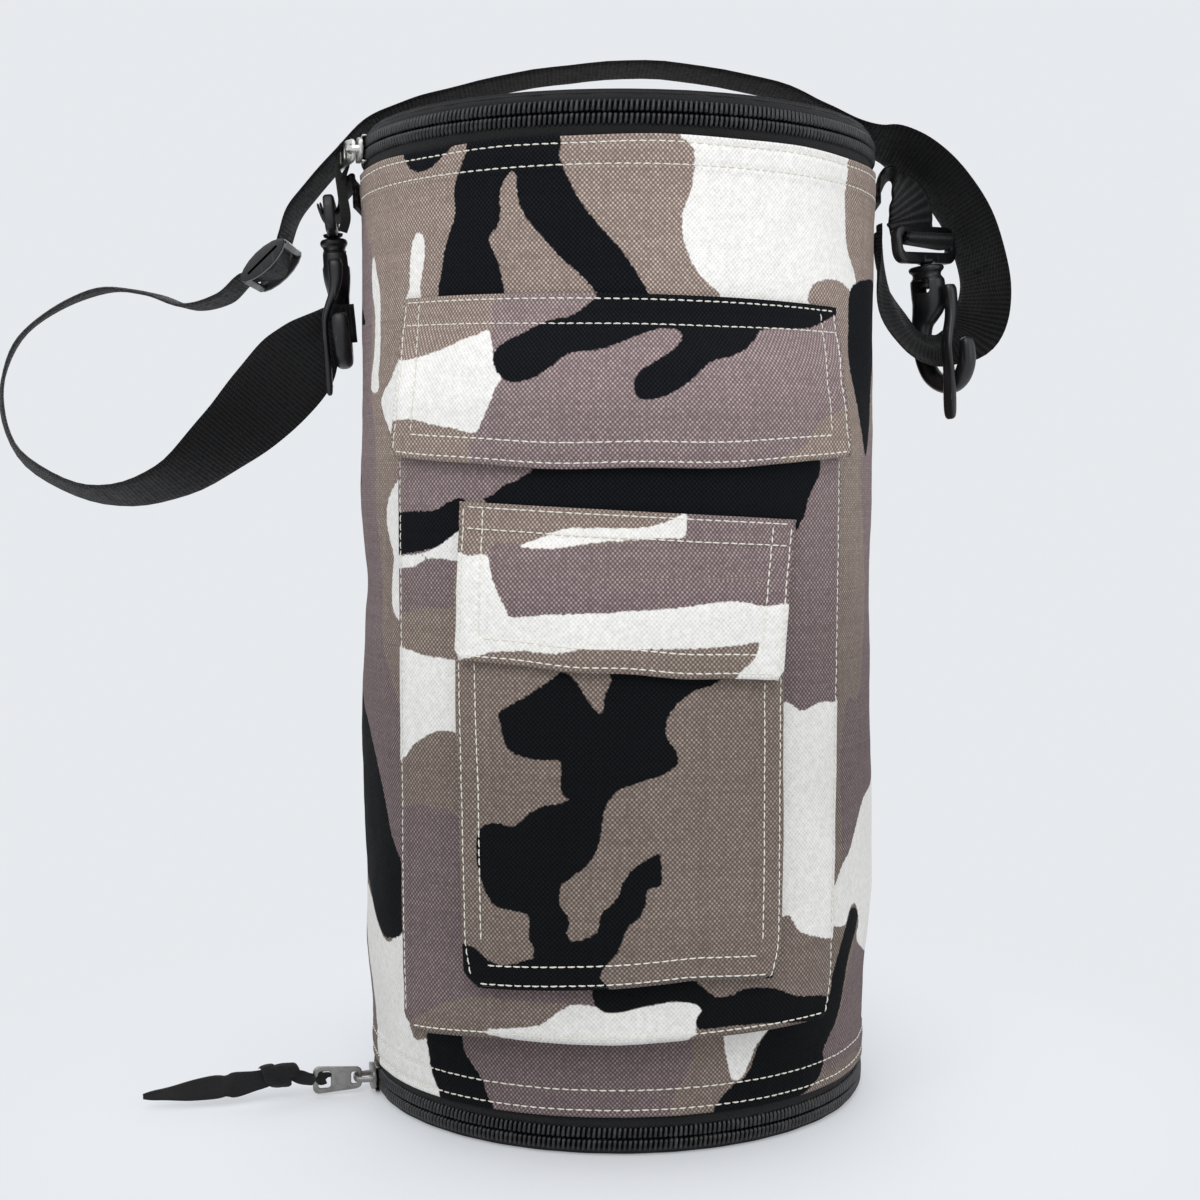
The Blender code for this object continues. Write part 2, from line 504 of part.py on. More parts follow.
# ---------------------------------------------------------------- shoulder strap
# One long band from a seam on the right side, through the right hook, over the
# lid, through the tri-glide, round the slack loop, through the left hook.
W, T = WEB, WEB_T
finish("shoulder_strap", ribbon(spline([
    (119.3, 4.0, 391.0, 16.0, T, 0), (120.2, 1.0, 373.0, 14.0, T, 0), (124.6, -5.0, 353.0, 12.0, 2.0, -10),
    (133.4, -9.6, 339.0, 9.0, 2.0, 20)]
    + [tuple(R_HOOK @ Vector((5.0, n, h))) + (8.0, 2.2, 44) for n, h in ((-8.0, -54.0), (0.0, -55.6), (8.0, -54.0))]
    + [
    (168.0, 7.0, 347.0, 24.0, T, 20), (174.0, 5.0, 374.0, 36.0, T, 6), (169.0, 3.0, 400.0, W, T, 0),
    (154.0, 3.0, 424.0, W, T, 0), (133.0, 4.0, 437.0, W, T, 0), (110.0, 5.0, 444.0, W, T, 0),
    (70.0, 4.0, 455.0, W, T, 0), (20.0, 2.0, 463.0, W, T, 0), (-30.0, 0.0, 460.0, W, T, 0),
    (-76.0, -1.0, 451.0, W, T, 0), (-103.0, -2.0, 442.0, W, T, 0), (-122.0, -2.0, 432.5, W, T, 0),
    (-135.0, -2.0, 417.0, W, T, 0), (-146.0, -2.0, 399.0, W, T, 0)]
    + [tuple(TG @ Vector((0, n, h))) + (W - 1, 1.4, 0) for n, h in (
        (-5.0, 14.0), (-3.5, 11.2), (-0.4, 6.8), (2.7, 3.0), (3.7, 0.0), (2.7, -3.0), (0.0, -6.6), (-3.4, -11.2),
        (-4.2, -14.8))]
    + [
    (-180.0, -2.0, 359.5, W, T, 0), (-196.0, -2.0, 356.0, W, T, 0), (-213.0, -2.0, 361.0, W, T, 0),
    (-234.0, -2.0, 363.0, W, T, 0), (-258.0, -2.0, 353.5, W, T, 0), (-276.0, -2.0, 336.0, W, T, 0),
    (-282.4, -2.0, 311.0, W, T, 0), (-268.0, -2.0, 284.0, W, T, 0), (-236.0, -2.0, 270.0, W, T, 0),
    (-200.0, -2.0, 281.0, W, T, 0), (-172.0, -4.0, 302.0, 32.0, T, 0), (-152.0, -6.0, 327.0, 18.0, T, 2)]
    + [tuple(L_HOOK @ Vector((5.0, n, h))) + (8.0, 2.2, 6) for n, h in ((-8.0, -54.4), (0.0, -56.2), (5.5, -55.0))], 2)), BLACK_WEB, 0.88)

for o in bpy.data.objects:
    if o.type == "MESH":
        for p in o.data.polygons:
            p.use_smooth = False
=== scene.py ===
import json
import math
import random
import bpy
import bmesh
import numpy as np
from mathutils import Matrix, Vector

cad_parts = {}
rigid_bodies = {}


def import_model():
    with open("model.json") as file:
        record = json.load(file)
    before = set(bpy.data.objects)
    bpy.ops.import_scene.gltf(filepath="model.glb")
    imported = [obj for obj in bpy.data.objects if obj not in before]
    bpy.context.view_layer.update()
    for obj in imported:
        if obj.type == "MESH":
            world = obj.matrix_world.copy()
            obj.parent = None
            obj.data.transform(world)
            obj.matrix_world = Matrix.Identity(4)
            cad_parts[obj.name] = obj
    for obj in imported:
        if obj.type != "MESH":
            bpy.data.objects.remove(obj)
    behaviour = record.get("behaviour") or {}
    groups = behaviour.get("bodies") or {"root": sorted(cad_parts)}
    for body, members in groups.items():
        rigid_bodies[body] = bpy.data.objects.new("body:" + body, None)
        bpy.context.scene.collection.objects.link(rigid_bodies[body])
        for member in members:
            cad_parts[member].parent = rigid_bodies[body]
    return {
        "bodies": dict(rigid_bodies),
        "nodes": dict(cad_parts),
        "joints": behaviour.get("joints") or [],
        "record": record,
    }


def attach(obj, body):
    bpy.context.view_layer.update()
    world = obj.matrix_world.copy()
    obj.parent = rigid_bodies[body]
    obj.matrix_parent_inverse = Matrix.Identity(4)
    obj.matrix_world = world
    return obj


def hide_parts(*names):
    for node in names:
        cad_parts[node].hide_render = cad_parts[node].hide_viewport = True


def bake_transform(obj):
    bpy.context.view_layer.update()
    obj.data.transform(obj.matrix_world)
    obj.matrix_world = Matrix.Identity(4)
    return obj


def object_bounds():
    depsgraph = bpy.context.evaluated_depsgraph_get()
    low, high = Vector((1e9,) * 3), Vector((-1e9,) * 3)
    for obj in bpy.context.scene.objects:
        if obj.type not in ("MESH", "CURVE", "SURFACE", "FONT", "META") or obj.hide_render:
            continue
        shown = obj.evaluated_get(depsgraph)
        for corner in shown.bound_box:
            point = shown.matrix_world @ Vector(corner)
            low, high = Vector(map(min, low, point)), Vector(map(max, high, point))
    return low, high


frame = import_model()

CAD_BOX = [list(map(float, c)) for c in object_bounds()]
MM = 0.001
PI = math.pi


# ------------------------------------------------------------------ node help
class Net:
    """A material with a Principled shader and short names for its nodes."""

    def __init__(self, name, rough=0.8, **sockets):
        self.mat = bpy.data.materials.new(name)
        self.mat.use_nodes = True
        self.nt = self.mat.node_tree
        self.b = self.nt.nodes["Principled BSDF"]
        self.b.inputs["Roughness"].default_value = rough
        for k, v in sockets.items():
            self.b.inputs[k.replace("_", " ")].default_value = v

    def new(self, kind, **props):
        n = self.nt.nodes.new(kind)
        for k, v in props.items():
            setattr(n, k, v)
        return n

    def put(self, socket, v):
        if isinstance(v, bpy.types.NodeSocket):
            self.nt.links.new(v, socket)
        elif isinstance(v, tuple) and len(v) == 3 and socket.type == "RGBA":
            socket.default_value = (*v, 1.0)
        else:
            socket.default_value = v

    def m(self, op, a, b=None, c=None, clamp=False):
        n = self.new("ShaderNodeMath", operation=op, use_clamp=clamp)
        for i, v in enumerate((a, b, c)):
            if v is not None:
                self.put(n.inputs[i], v)
        return n.outputs[0]

    def mix(self, f, a, b):
        n = self.new("ShaderNodeMix", data_type="RGBA")
        self.put(n.inputs[0], f)
        self.put(n.inputs[6], a)
        self.put(n.inputs[7], b)
        return n.outputs[2]

    def step(self, v, lo, hi, to0=0.0, to1=1.0):
        n = self.new("ShaderNodeMapRange", interpolation_type="SMOOTHSTEP")
        for i, x in enumerate((v, lo, hi, to0, to1)):
            self.put(n.inputs[i], x)
        return n.outputs[0]

    def obj(self):
        return self.new("ShaderNodeTexCoord").outputs["Object"]

    def noise(self, scale, detail=2.0, rough=0.5, vec=None):
        n = self.new("ShaderNodeTexNoise")
        self.put(n.inputs["Vector"], vec if vec is not None else self.obj())
        n.inputs["Scale"].default_value = scale
        n.inputs["Detail"].default_value = detail
        n.inputs["Roughness"].default_value = rough
        return n.outputs["Fac"]

    def white(self, vec):
        n = self.new("ShaderNodeTexWhiteNoise", noise_dimensions="2D")
        self.put(n.inputs["Vector"], vec)
        return n.outputs["Value"]

    def attr(self, name, out="Fac"):
        return self.new("ShaderNodeAttribute", attribute_name=name).outputs[out]

    def split(self, vec):
        n = self.new("ShaderNodeSeparateXYZ")
        self.put(n.inputs[0], vec)
        return n.outputs[0], n.outputs[1], n.outputs[2]

    def join(self, x, y, z=0.0):
        n = self.new("ShaderNodeCombineXYZ")
        for i, v in enumerate((x, y, z)):
            self.put(n.inputs[i], v)
        return n.outputs[0]

    def bump(self, height, distance, strength=1.0, under=None):
        n = self.new("ShaderNodeBump")
        self.put(n.inputs["Height"], height)
        n.inputs["Distance"].default_value = distance
        n.inputs["Strength"].default_value = strength
        if under is not None:
            self.put(n.inputs["Normal"], under)
        return n.outputs[0]

    def colour(self, v):
        self.put(self.b.inputs["Base Color"], v)

    def rough(self, v):
        self.put(self.b.inputs["Roughness"], v)

    def normal(self, v):
        self.put(self.b.inputs["Normal"], v)


def wave01(g, x):
    """cos of x as 0 to 1."""
    return g.m("MULTIPLY_ADD", g.m("COSINE", x), 0.5, 0.5)


# ------------------------------------------------------------------ materials
def plain_weave(g, cell_u, cell_v):
    """Over-and-under threads from the wv attribute (mm along the cloth)."""
    u, v, _ = g.split(g.attr("wv", "Vector"))
    cu = g.m("COSINE", g.m("MULTIPLY", u, PI / cell_u))
    cv = g.m("COSINE", g.m("MULTIPLY", v, PI / cell_v))
    check = g.m("MULTIPLY_ADD", g.m("MULTIPLY", cu, cv), 0.5, 0.5)
    iu = g.m("FLOOR", g.m("ADD", g.m("DIVIDE", u, cell_u), 0.5))
    iv = g.m("FLOOR", g.m("ADD", g.m("DIVIDE", v, cell_v), 0.5))
    cell = g.white(g.join(iu, iv))
    row = g.white(g.join(3.0, iv))
    col = g.white(g.join(iu, 7.0))
    return u, v, check, cell, row, col


def canvas_material():
    g = Net("camo_canvas", 0.92)
    g.b.inputs["Specular IOR Level"].default_value = 0.12
    u, v, check, cell, row, col = plain_weave(g, 0.94, 1.00)
    ragged = g.m("MULTIPLY", g.m("SUBTRACT", g.noise(650.0, 1.0), 0.5), 1.6)
    masks = [g.step(g.m("ADD", g.attr(n), ragged), -0.35, 0.35) for n in ("dG", "dW", "dB")]

    def layered(t, gr, w, b):
        c = g.mix(masks[0], t, gr)
        c = g.mix(masks[1], c, w)
        return g.mix(masks[2], c, b)

    ink = layered((0.154, 0.110, 0.090), (0.126, 0.088, 0.092), (0.825, 0.805, 0.772), (0.0016, 0.0020, 0.0032))
    thread = layered((0.62, 0.53, 0.47), (0.54, 0.44, 0.43), (0.60, 0.60, 0.575), (0.0135, 0.015, 0.018))
    slub = g.m("MULTIPLY_ADD", row, 0.18, g.m("MULTIPLY", col, 0.14))
    amount = g.m("MULTIPLY", g.m("POWER", check, 2.0), g.m("MULTIPLY_ADD", cell, 0.45, g.m("ADD", slub, 0.42)), clamp=True)
    base = g.mix(amount, ink, thread)
    # hand dirt and fading in broad soft patches, with a finer speckle
    worn = g.step(g.noise(9.0, 4.0, 0.6), 0.30, 0.72, 0.95, 1.05)
    fine = g.step(g.noise(420.0, 2.0, 0.6), 0.25, 0.75, 0.93, 1.07)
    # painted light: the cloth colour is lighter at the top and darker towards the bottom, a painted shade lower down;
    # white changes less
    low = g.m("MULTIPLY_ADD", masks[1], 0.27, 0.64)
    painted_light_falloff = g.m("MULTIPLY_ADD", g.attr("tone"), g.m("SUBTRACT", 1.07, low), low)
    shade = g.m("MULTIPLY", g.m("MULTIPLY", worn, fine), painted_light_falloff)
    n = g.new("ShaderNodeVectorMath", operation="SCALE")
    g.put(n.inputs[0], base)
    g.put(n.inputs["Scale"], shade)
    g.colour(n.outputs[0])
    g.rough(g.step(cell, 0.0, 1.0, 0.86, 0.97))
    h = g.m("MULTIPLY_ADD", check, 0.8, g.m("MULTIPLY", cell, 0.35))
    under = g.bump(g.noise(70.0, 3.0), 0.0012, 0.35)
    g.normal(g.bump(h, 0.00028, 0.75, under))
    return g.mat


def backing_material():
    """Grey coated back of the canvas, seen inside pockets and under flaps."""
    g = Net("canvas_back", 0.7)
    u, v, check, cell, row, col = plain_weave(g, 0.80, 0.86)
    shade = g.m("MULTIPLY_ADD", cell, 0.25, g.m("MULTIPLY", check, 0.35))
    g.colour(g.mix(shade, (0.085, 0.084, 0.088), (0.17, 0.168, 0.172)))
    g.rough(g.step(g.noise(60.0), 0.3, 0.7, 0.62, 0.8))
    g.normal(g.bump(check, 0.0002, 0.5))
    return g.mat


def webbing_material(name, pitch, dark, light, gloss=0.62, spec=0.4):
    """Ribbed black webbing; wv is (mm across, mm along)."""
    g = Net(name, gloss, Sheen_Weight=0.06, Sheen_Roughness=0.4)
    g.b.inputs["Specular IOR Level"].default_value = spec
    u, v, _ = g.split(g.attr("wv", "Vector"))
    rib = wave01(g, g.m("MULTIPLY", v, 2 * PI / pitch))
    # pairs of yarns lying across the ribs
    yarn = wave01(g, g.m("MULTIPLY_ADD", u, 2 * PI / 1.15, g.m("MULTIPLY", v, PI / pitch)))
    cell = g.white(g.join(g.m("FLOOR", g.m("DIVIDE", u, 1.15)), g.m("FLOOR", g.m("DIVIDE", v, pitch))))
    fuzz = g.noise(900.0, 3.0, 0.7)
    h = g.m("MULTIPLY_ADD", rib, 0.75, g.m("MULTIPLY", yarn, 0.4))
    # painted highlight: the rib crowns are painted lighter than the grooves; the pale specks are loose fuzz
    lit = g.m("MULTIPLY", g.m("POWER", rib, 2.0), g.m("MULTIPLY_ADD", cell, 0.5, 0.45), clamp=True)
    lit = g.m("MULTIPLY_ADD", g.step(fuzz, 0.55, 0.8), 0.25, lit, clamp=True)
    g.colour(g.mix(lit, dark, light))
    g.rough(g.step(cell, 0.0, 1.0, gloss - 0.08, gloss + 0.14))
    g.normal(g.bump(h, 0.00045, 0.9, g.bump(fuzz, 0.0002, 0.4)))
    return g.mat


def tape_material(name, dark, light):
    """Zip tape and ribbon: fine herringbone."""
    g = Net(name, 0.8, Sheen_Weight=0.05)
    g.b.inputs["Specular IOR Level"].default_value = 0.3
    u, v, _ = g.split(g.attr("wv", "Vector"))
    saw = g.m("ABSOLUTE", g.m("SUBTRACT", g.m("FRACT", g.m("DIVIDE", v, 2.0)), 0.5))
    bone = wave01(g, g.m("MULTIPLY", g.m("MULTIPLY_ADD", saw, 2.2, u), 2 * PI / 0.9))
    cell = g.noise(1300.0, 2.0, 0.7)
    lit = g.m("MULTIPLY", bone, g.step(cell, 0.35, 0.75), clamp=True)
    # painted highlight on the raised herringbone yarns
    g.colour(g.mix(lit, dark, light))
    g.rough(g.step(cell, 0.3, 0.7, 0.72, 0.92))
    g.normal(g.bump(bone, 0.00022, 0.8, g.bump(cell, 0.0001, 0.5)))
    return g.mat


def coil_material():
    """Nylon coil: satin black, lighter in scuffed patches on the outward crowns: partly scuffs, partly a painted
    highlight.
    """
    g = Net("coil_nylon", 0.42)
    g.b.inputs["Specular IOR Level"].default_value = 0.5
    scuff_and_highlight = g.step(g.noise(260.0, 3.0, 0.65), 0.45, 0.75)
    crown = g.attr("crown")
    # painted highlight on the outward crowns, in scuffed patches
    g.colour(g.mix(g.m("MULTIPLY", scuff_and_highlight, crown), (0.005, 0.005, 0.006), (0.045, 0.044, 0.044)))
    g.rough(g.step(scuff_and_highlight, 0.0, 1.0, 0.36, 0.58))
    g.normal(g.bump(g.noise(1500.0, 2.0), 0.00008, 0.5))
    return g.mat


def thread_material(name, dark, light):
    """Sewing thread: two plies twisted along its length (wv.x runs along it)."""
    g = Net(name, 0.62, Sheen_Weight=0.15)
    u, v, _ = g.split(g.attr("wv", "Vector"))
    ply = wave01(g, g.m("MULTIPLY_ADD", u, 2 * PI / 0.75, g.m("MULTIPLY", v, 2.0)))
    fuzz = g.noise(1200.0, 2.0)
    # the grooves between the plies are painted darker and the ply crowns lighter: painted shade and highlight
    g.colour(g.mix(g.m("MULTIPLY_ADD", ply, 0.6, g.m("MULTIPLY", fuzz, 0.5), clamp=True), dark, light))
    g.rough(g.step(fuzz, 0.3, 0.7, 0.55, 0.75))
    g.normal(g.bump(ply, 0.00012, 0.7))
    return g.mat


def plastic_material(name, base, scuff, rough):
    """Moulded acetal: faint flow texture, fine scratches, scuffed where it rubs."""
    g = Net(name, rough)
    g.b.inputs["Specular IOR Level"].default_value = 0.5
    grain = g.noise(2400.0, 2.0, 0.6)
    patch = g.noise(55.0, 3.0, 0.6)
    coords = g.obj()
    sc = g.new("ShaderNodeMapping")
    g.put(sc.inputs[0], coords)
    sc.inputs["Scale"].default_value = (900.0, 900.0, 60.0)
    scratch = g.step(g.noise(1.0, 3.0, 0.6, sc.outputs[0]), 0.60, 0.70)
    g.colour(g.mix(g.m("MULTIPLY", scratch, 0.35), g.mix(g.step(patch, 0.35, 0.7), base, scuff), (0.10, 0.10, 0.105)))
    g.rough(g.m("ADD", g.step(patch, 0.3, 0.7, rough - 0.05, rough + 0.10), g.m("MULTIPLY", scratch, 0.08)))
    g.normal(g.bump(grain, 0.00005, 0.5, g.bump(patch, 0.0004, 0.25)))
    return g.mat


def metal_material(name, base, dull, rough):
    """Plated zinc: rubbed plating, small pits and hairline scratches."""
    g = Net(name, rough, Metallic=1.0)
    patch = g.noise(140.0, 4.0, 0.65)
    pit = g.step(g.noise(1500.0, 1.0), 0.66, 0.72)
    sc = g.new("ShaderNodeMapping")
    g.put(sc.inputs[0], g.obj())
    sc.inputs["Scale"].default_value = (1700.0, 1700.0, 90.0)
    hair = g.noise(1.0, 3.0, 0.7, sc.outputs[0])
    g.colour(g.mix(g.m("ADD", g.m("MULTIPLY", g.step(patch, 0.4, 0.75), 0.6), g.m("MULTIPLY", pit, 0.4), clamp=True), base, dull))
    g.rough(g.m("ADD", g.step(patch, 0.3, 0.7, rough - 0.05, rough + 0.12), g.m("MULTIPLY", hair, 0.10)))
    g.normal(g.bump(hair, 0.00006, 0.5, g.bump(pit, 0.0001, 0.4)))
    return g.mat


def foam_material():
    g = Net("cell_foam", 0.95)
    vo = g.new("ShaderNodeTexVoronoi")
    g.put(vo.inputs["Vector"], g.obj())
    vo.inputs["Scale"].default_value = 1400.0
    cells = vo.outputs["Distance"]
    # the pores are painted darker than the cell walls: painted shade in the pores
    g.colour(g.mix(g.step(cells, 0.1, 0.6), (0.035, 0.035, 0.038), (0.085, 0.085, 0.09)))
    g.normal(g.bump(cells, 0.00035, 0.8))
    return g.mat


def lining_material():
    """Thin black ripstop: a raised square grid over a fine weave."""
    g = Net("lining_cloth", 0.55)
    g.b.inputs["Specular IOR Level"].default_value = 0.45
    u, v, check, cell, row, col = plain_weave(g, 0.35, 0.35)
    gu = g.step(wave01(g, g.m("MULTIPLY", u, 2 * PI / 5.0)), 0.93, 1.0)
    gv = g.step(wave01(g, g.m("MULTIPLY", v, 2 * PI / 5.0)), 0.93, 1.0)
    grid = g.m("MAXIMUM", gu, gv)
    # the raised grid is painted lighter, a painted highlight; the rest varies with random thread tone
    g.colour(g.mix(g.m("MULTIPLY_ADD", grid, 0.5, g.m("MULTIPLY", cell, 0.3)), (0.018, 0.018, 0.020), (0.060, 0.060, 0.064)))
    g.rough(g.step(g.noise(40.0), 0.3, 0.7, 0.45, 0.65))
    g.normal(g.bump(g.m("ADD", grid, g.m("MULTIPLY", check, 0.3)), 0.0002, 0.8))
    return g.mat


def fuzz_material(name, scale, dark, light, deep):
    """Hook or loop tape: a field of tiny loops or hooks."""
    g = Net(name, 0.95, Sheen_Weight=0.5, Sheen_Roughness=0.5)
    vo = g.new("ShaderNodeTexVoronoi")
    g.put(vo.inputs["Vector"], g.obj())
    vo.inputs["Scale"].default_value = scale
    d = vo.outputs["Distance"]
    f = g.noise(scale * 0.8, 3.0, 0.7)
    # the hollows between the loops or hooks are painted darker: painted shade
    g.colour(g.mix(g.m("MULTIPLY", g.step(d, 0.05, 0.55), g.step(f, 0.3, 0.7)), dark, light))
    g.normal(g.bump(g.m("ADD", d, f), deep, 0.9))
    return g.mat


CANVAS = canvas_material()
BACK = backing_material()
WEB = webbing_material("shoulder_webbing", 1.9, (0.0022, 0.0023, 0.0026), (0.016, 0.016, 0.017), 0.72, 0.22)
TAB_WEB = webbing_material("tab_webbing", 3.3, (0.0018, 0.0019, 0.0022), (0.048, 0.048, 0.050), 0.70, 0.25)
RIBBON = tape_material("pull_ribbon", (0.0035, 0.0035, 0.004), (0.020, 0.020, 0.021))
TAPE = tape_material("zip_tape", (0.0035, 0.0035, 0.004), (0.022, 0.022, 0.023))
BINDING = webbing_material("lid_binding", 1.2, (0.004, 0.004, 0.0045), (0.022, 0.022, 0.023), 0.8, 0.25)
COIL = coil_material()
THREAD = thread_material("cream_thread", (0.56, 0.53, 0.45), (0.90, 0.87, 0.79))
DARK_THREAD = thread_material("black_thread", (0.010, 0.010, 0.011), (0.050, 0.050, 0.052))
PLASTIC = plastic_material("hook_acetal", (0.0035, 0.0035, 0.0042), (0.007, 0.007, 0.008), 0.36)
NICKEL = metal_material("bright_nickel", (0.70, 0.69, 0.66), (0.42, 0.41, 0.39), 0.26)
DARK_NICKEL = metal_material("dark_nickel", (0.30, 0.29, 0.28), (0.14, 0.135, 0.13), 0.34)
FOAM = foam_material()
LINING = lining_material()
LOOPS = fuzz_material("loop_pile", 1700.0, (0.010, 0.010, 0.011), (0.060, 0.060, 0.063), 0.0005)
HOOKS = fuzz_material("hook_field", 1100.0, (0.008, 0.008, 0.009), (0.075, 0.075, 0.078), 0.0007)


# ------------------------------------------------------------------ mesh help
def make(name, verts, faces, mats, attrs=None, vecs=None, smooth=True, face_mat=None):
    """verts in mm; attrs are per-point numbers, vecs per-point vectors."""
    me = bpy.data.meshes.new(name)
    v = np.asarray(verts, float) * MM
    me.from_pydata(v.tolist(), [], [list(map(int, f)) for f in faces])
    for m in mats if isinstance(mats, (list, tuple)) else [mats]:
        me.materials.append(m)
    for k, a in (attrs or {}).items():
        at = me.attributes.new(k, "FLOAT", "POINT")
        at.data.foreach_set("value", np.asarray(a, np.float32).ravel())
    for k, a in (vecs or {}).items():
        at = me.attributes.new(k, "FLOAT_VECTOR", "POINT")
        at.data.foreach_set("vector", np.asarray(a, np.float32).ravel())
    me.polygons.foreach_set("use_smooth", [smooth] * len(me.polygons))
    if face_mat is not None:
        me.polygons.foreach_set("material_index", face_mat)
    me.update()
    ob = bpy.data.objects.new(name, me)
    bpy.context.scene.collection.objects.link(ob)
    return ob


def outward(ob):
    bm = bmesh.new()
    bm.from_mesh(ob.data)
    bmesh.ops.recalc_face_normals(bm, faces=bm.faces)
    bm.to_mesh(ob.data)
    bm.free()
    ob.data.polygons.foreach_set("use_smooth", [True] * len(ob.data.polygons))
    return ob


def keep(ob, body, *nodes, slot=None):
    """Ride a body and stand for CAD nodes; slot is not used."""
    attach(ob, body)
    if nodes:
        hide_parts(*nodes)
    return ob


def grid_faces(rows, cols, close_u=False, base=0):
    """Quads of a rows x cols grid stored row by row."""
    out = []
    last = cols if close_u else cols - 1
    for i in range(rows - 1):
        for j in range(last):
            k = (j + 1) % cols
            out.append((base + i * cols + j, base + i * cols + k, base + (i + 1) * cols + k, base + (i + 1) * cols + j))
    return out


def apply_all(ob):
    """Bake the modifiers into the mesh."""
    bpy.context.view_layer.update()
    dg = bpy.context.evaluated_depsgraph_get()
    me = bpy.data.meshes.new_from_object(ob.evaluated_get(dg))
    ob.modifiers.clear()
    ob.data = me
    return ob


def thicken(ob, t, offset=-1.0, back=0):
    m = ob.modifiers.new("thickness", "SOLIDIFY")
    m.thickness = t * MM
    m.offset = offset
    m.use_even_offset = False
    m.material_offset = back
    m.material_offset_rim = 0
    return apply_all(ob)


def sheet(name, pts, wv, mats, t, attrs=None, close_u=False, back=0, flip=False, offset=-1.0):
    """pts (rows, cols, 3) in mm as a cloth t mm thick."""
    rows, cols = pts.shape[:2]
    f = grid_faces(rows, cols, close_u)
    if flip:
        f = [q[::-1] for q in f]
    ob = make(name, pts.reshape(-1, 3), f, mats, {k: a.ravel() for k, a in (attrs or {}).items()}, {"wv": wv.reshape(-1, 3)})
    return thicken(ob, t, offset, back)


class Waves:
    """Smooth seeded bumps in space, about -1 to 1."""

    def __init__(self, seed, n, lo, hi):
        r = np.random.default_rng(seed)
        d = r.normal(size=(n, 3))
        d /= np.linalg.norm(d, axis=1)[:, None]
        self.k = d * (2 * PI / r.uniform(lo, hi, n))[:, None]
        self.p = r.uniform(0, 2 * PI, n)

    def __call__(self, p):
        return np.sin(p @ self.k.T + self.p).sum(-1) / math.sqrt(len(self.p))


def pol(r, az, z):
    a = np.radians(az)
    r, a, z = np.broadcast_arrays(np.asarray(r, float), a, np.asarray(z, float))
    return np.stack([r * np.sin(a), -r * np.cos(a), z], -1)


def smooth01(x):
    x = np.clip(x, 0, 1)
    return x * x * (3 - 2 * x)


def bell(x, w):
    return np.exp(-(np.asarray(x) / w) ** 2)


def spline(points, per):
    """Catmull-Rom through points (equal-length tuples)."""
    out = []
    n = len(points)
    for i in range(n - 1):
        p0, p1, p2, p3 = points[max(i - 1, 0)], points[i], points[i + 1], points[min(i + 2, n - 1)]
        for k in range(per):
            t = k / per
            out.append(tuple(0.5 * ((2 * b) + (-a + c) * t + (2 * a - 5 * b + 4 * c - d) * t * t
                                    + (-a + 3 * b - 3 * c + d) * t ** 3)
                             for a, b, c, d in zip(p0, p1, p2, p3)))
    out.append(tuple(points[-1]))
    return out


def tube_mesh(rings, closed=False):
    """Verts and faces from equal rings of points, end caps included."""
    n = len(rings[0])
    verts = [p for r in rings for p in r]
    faces = []
    count = len(rings) if closed else len(rings) - 1
    for i in range(count):
        a, b = i * n, ((i + 1) % len(rings)) * n
        for k in range(n):
            faces.append((a + k, a + (k + 1) % n, b + (k + 1) % n, b + k))
    if not closed:
        faces.append(tuple(range(n))[::-1])
        faces.append(tuple((len(rings) - 1) * n + k for k in range(n)))
    return verts, faces
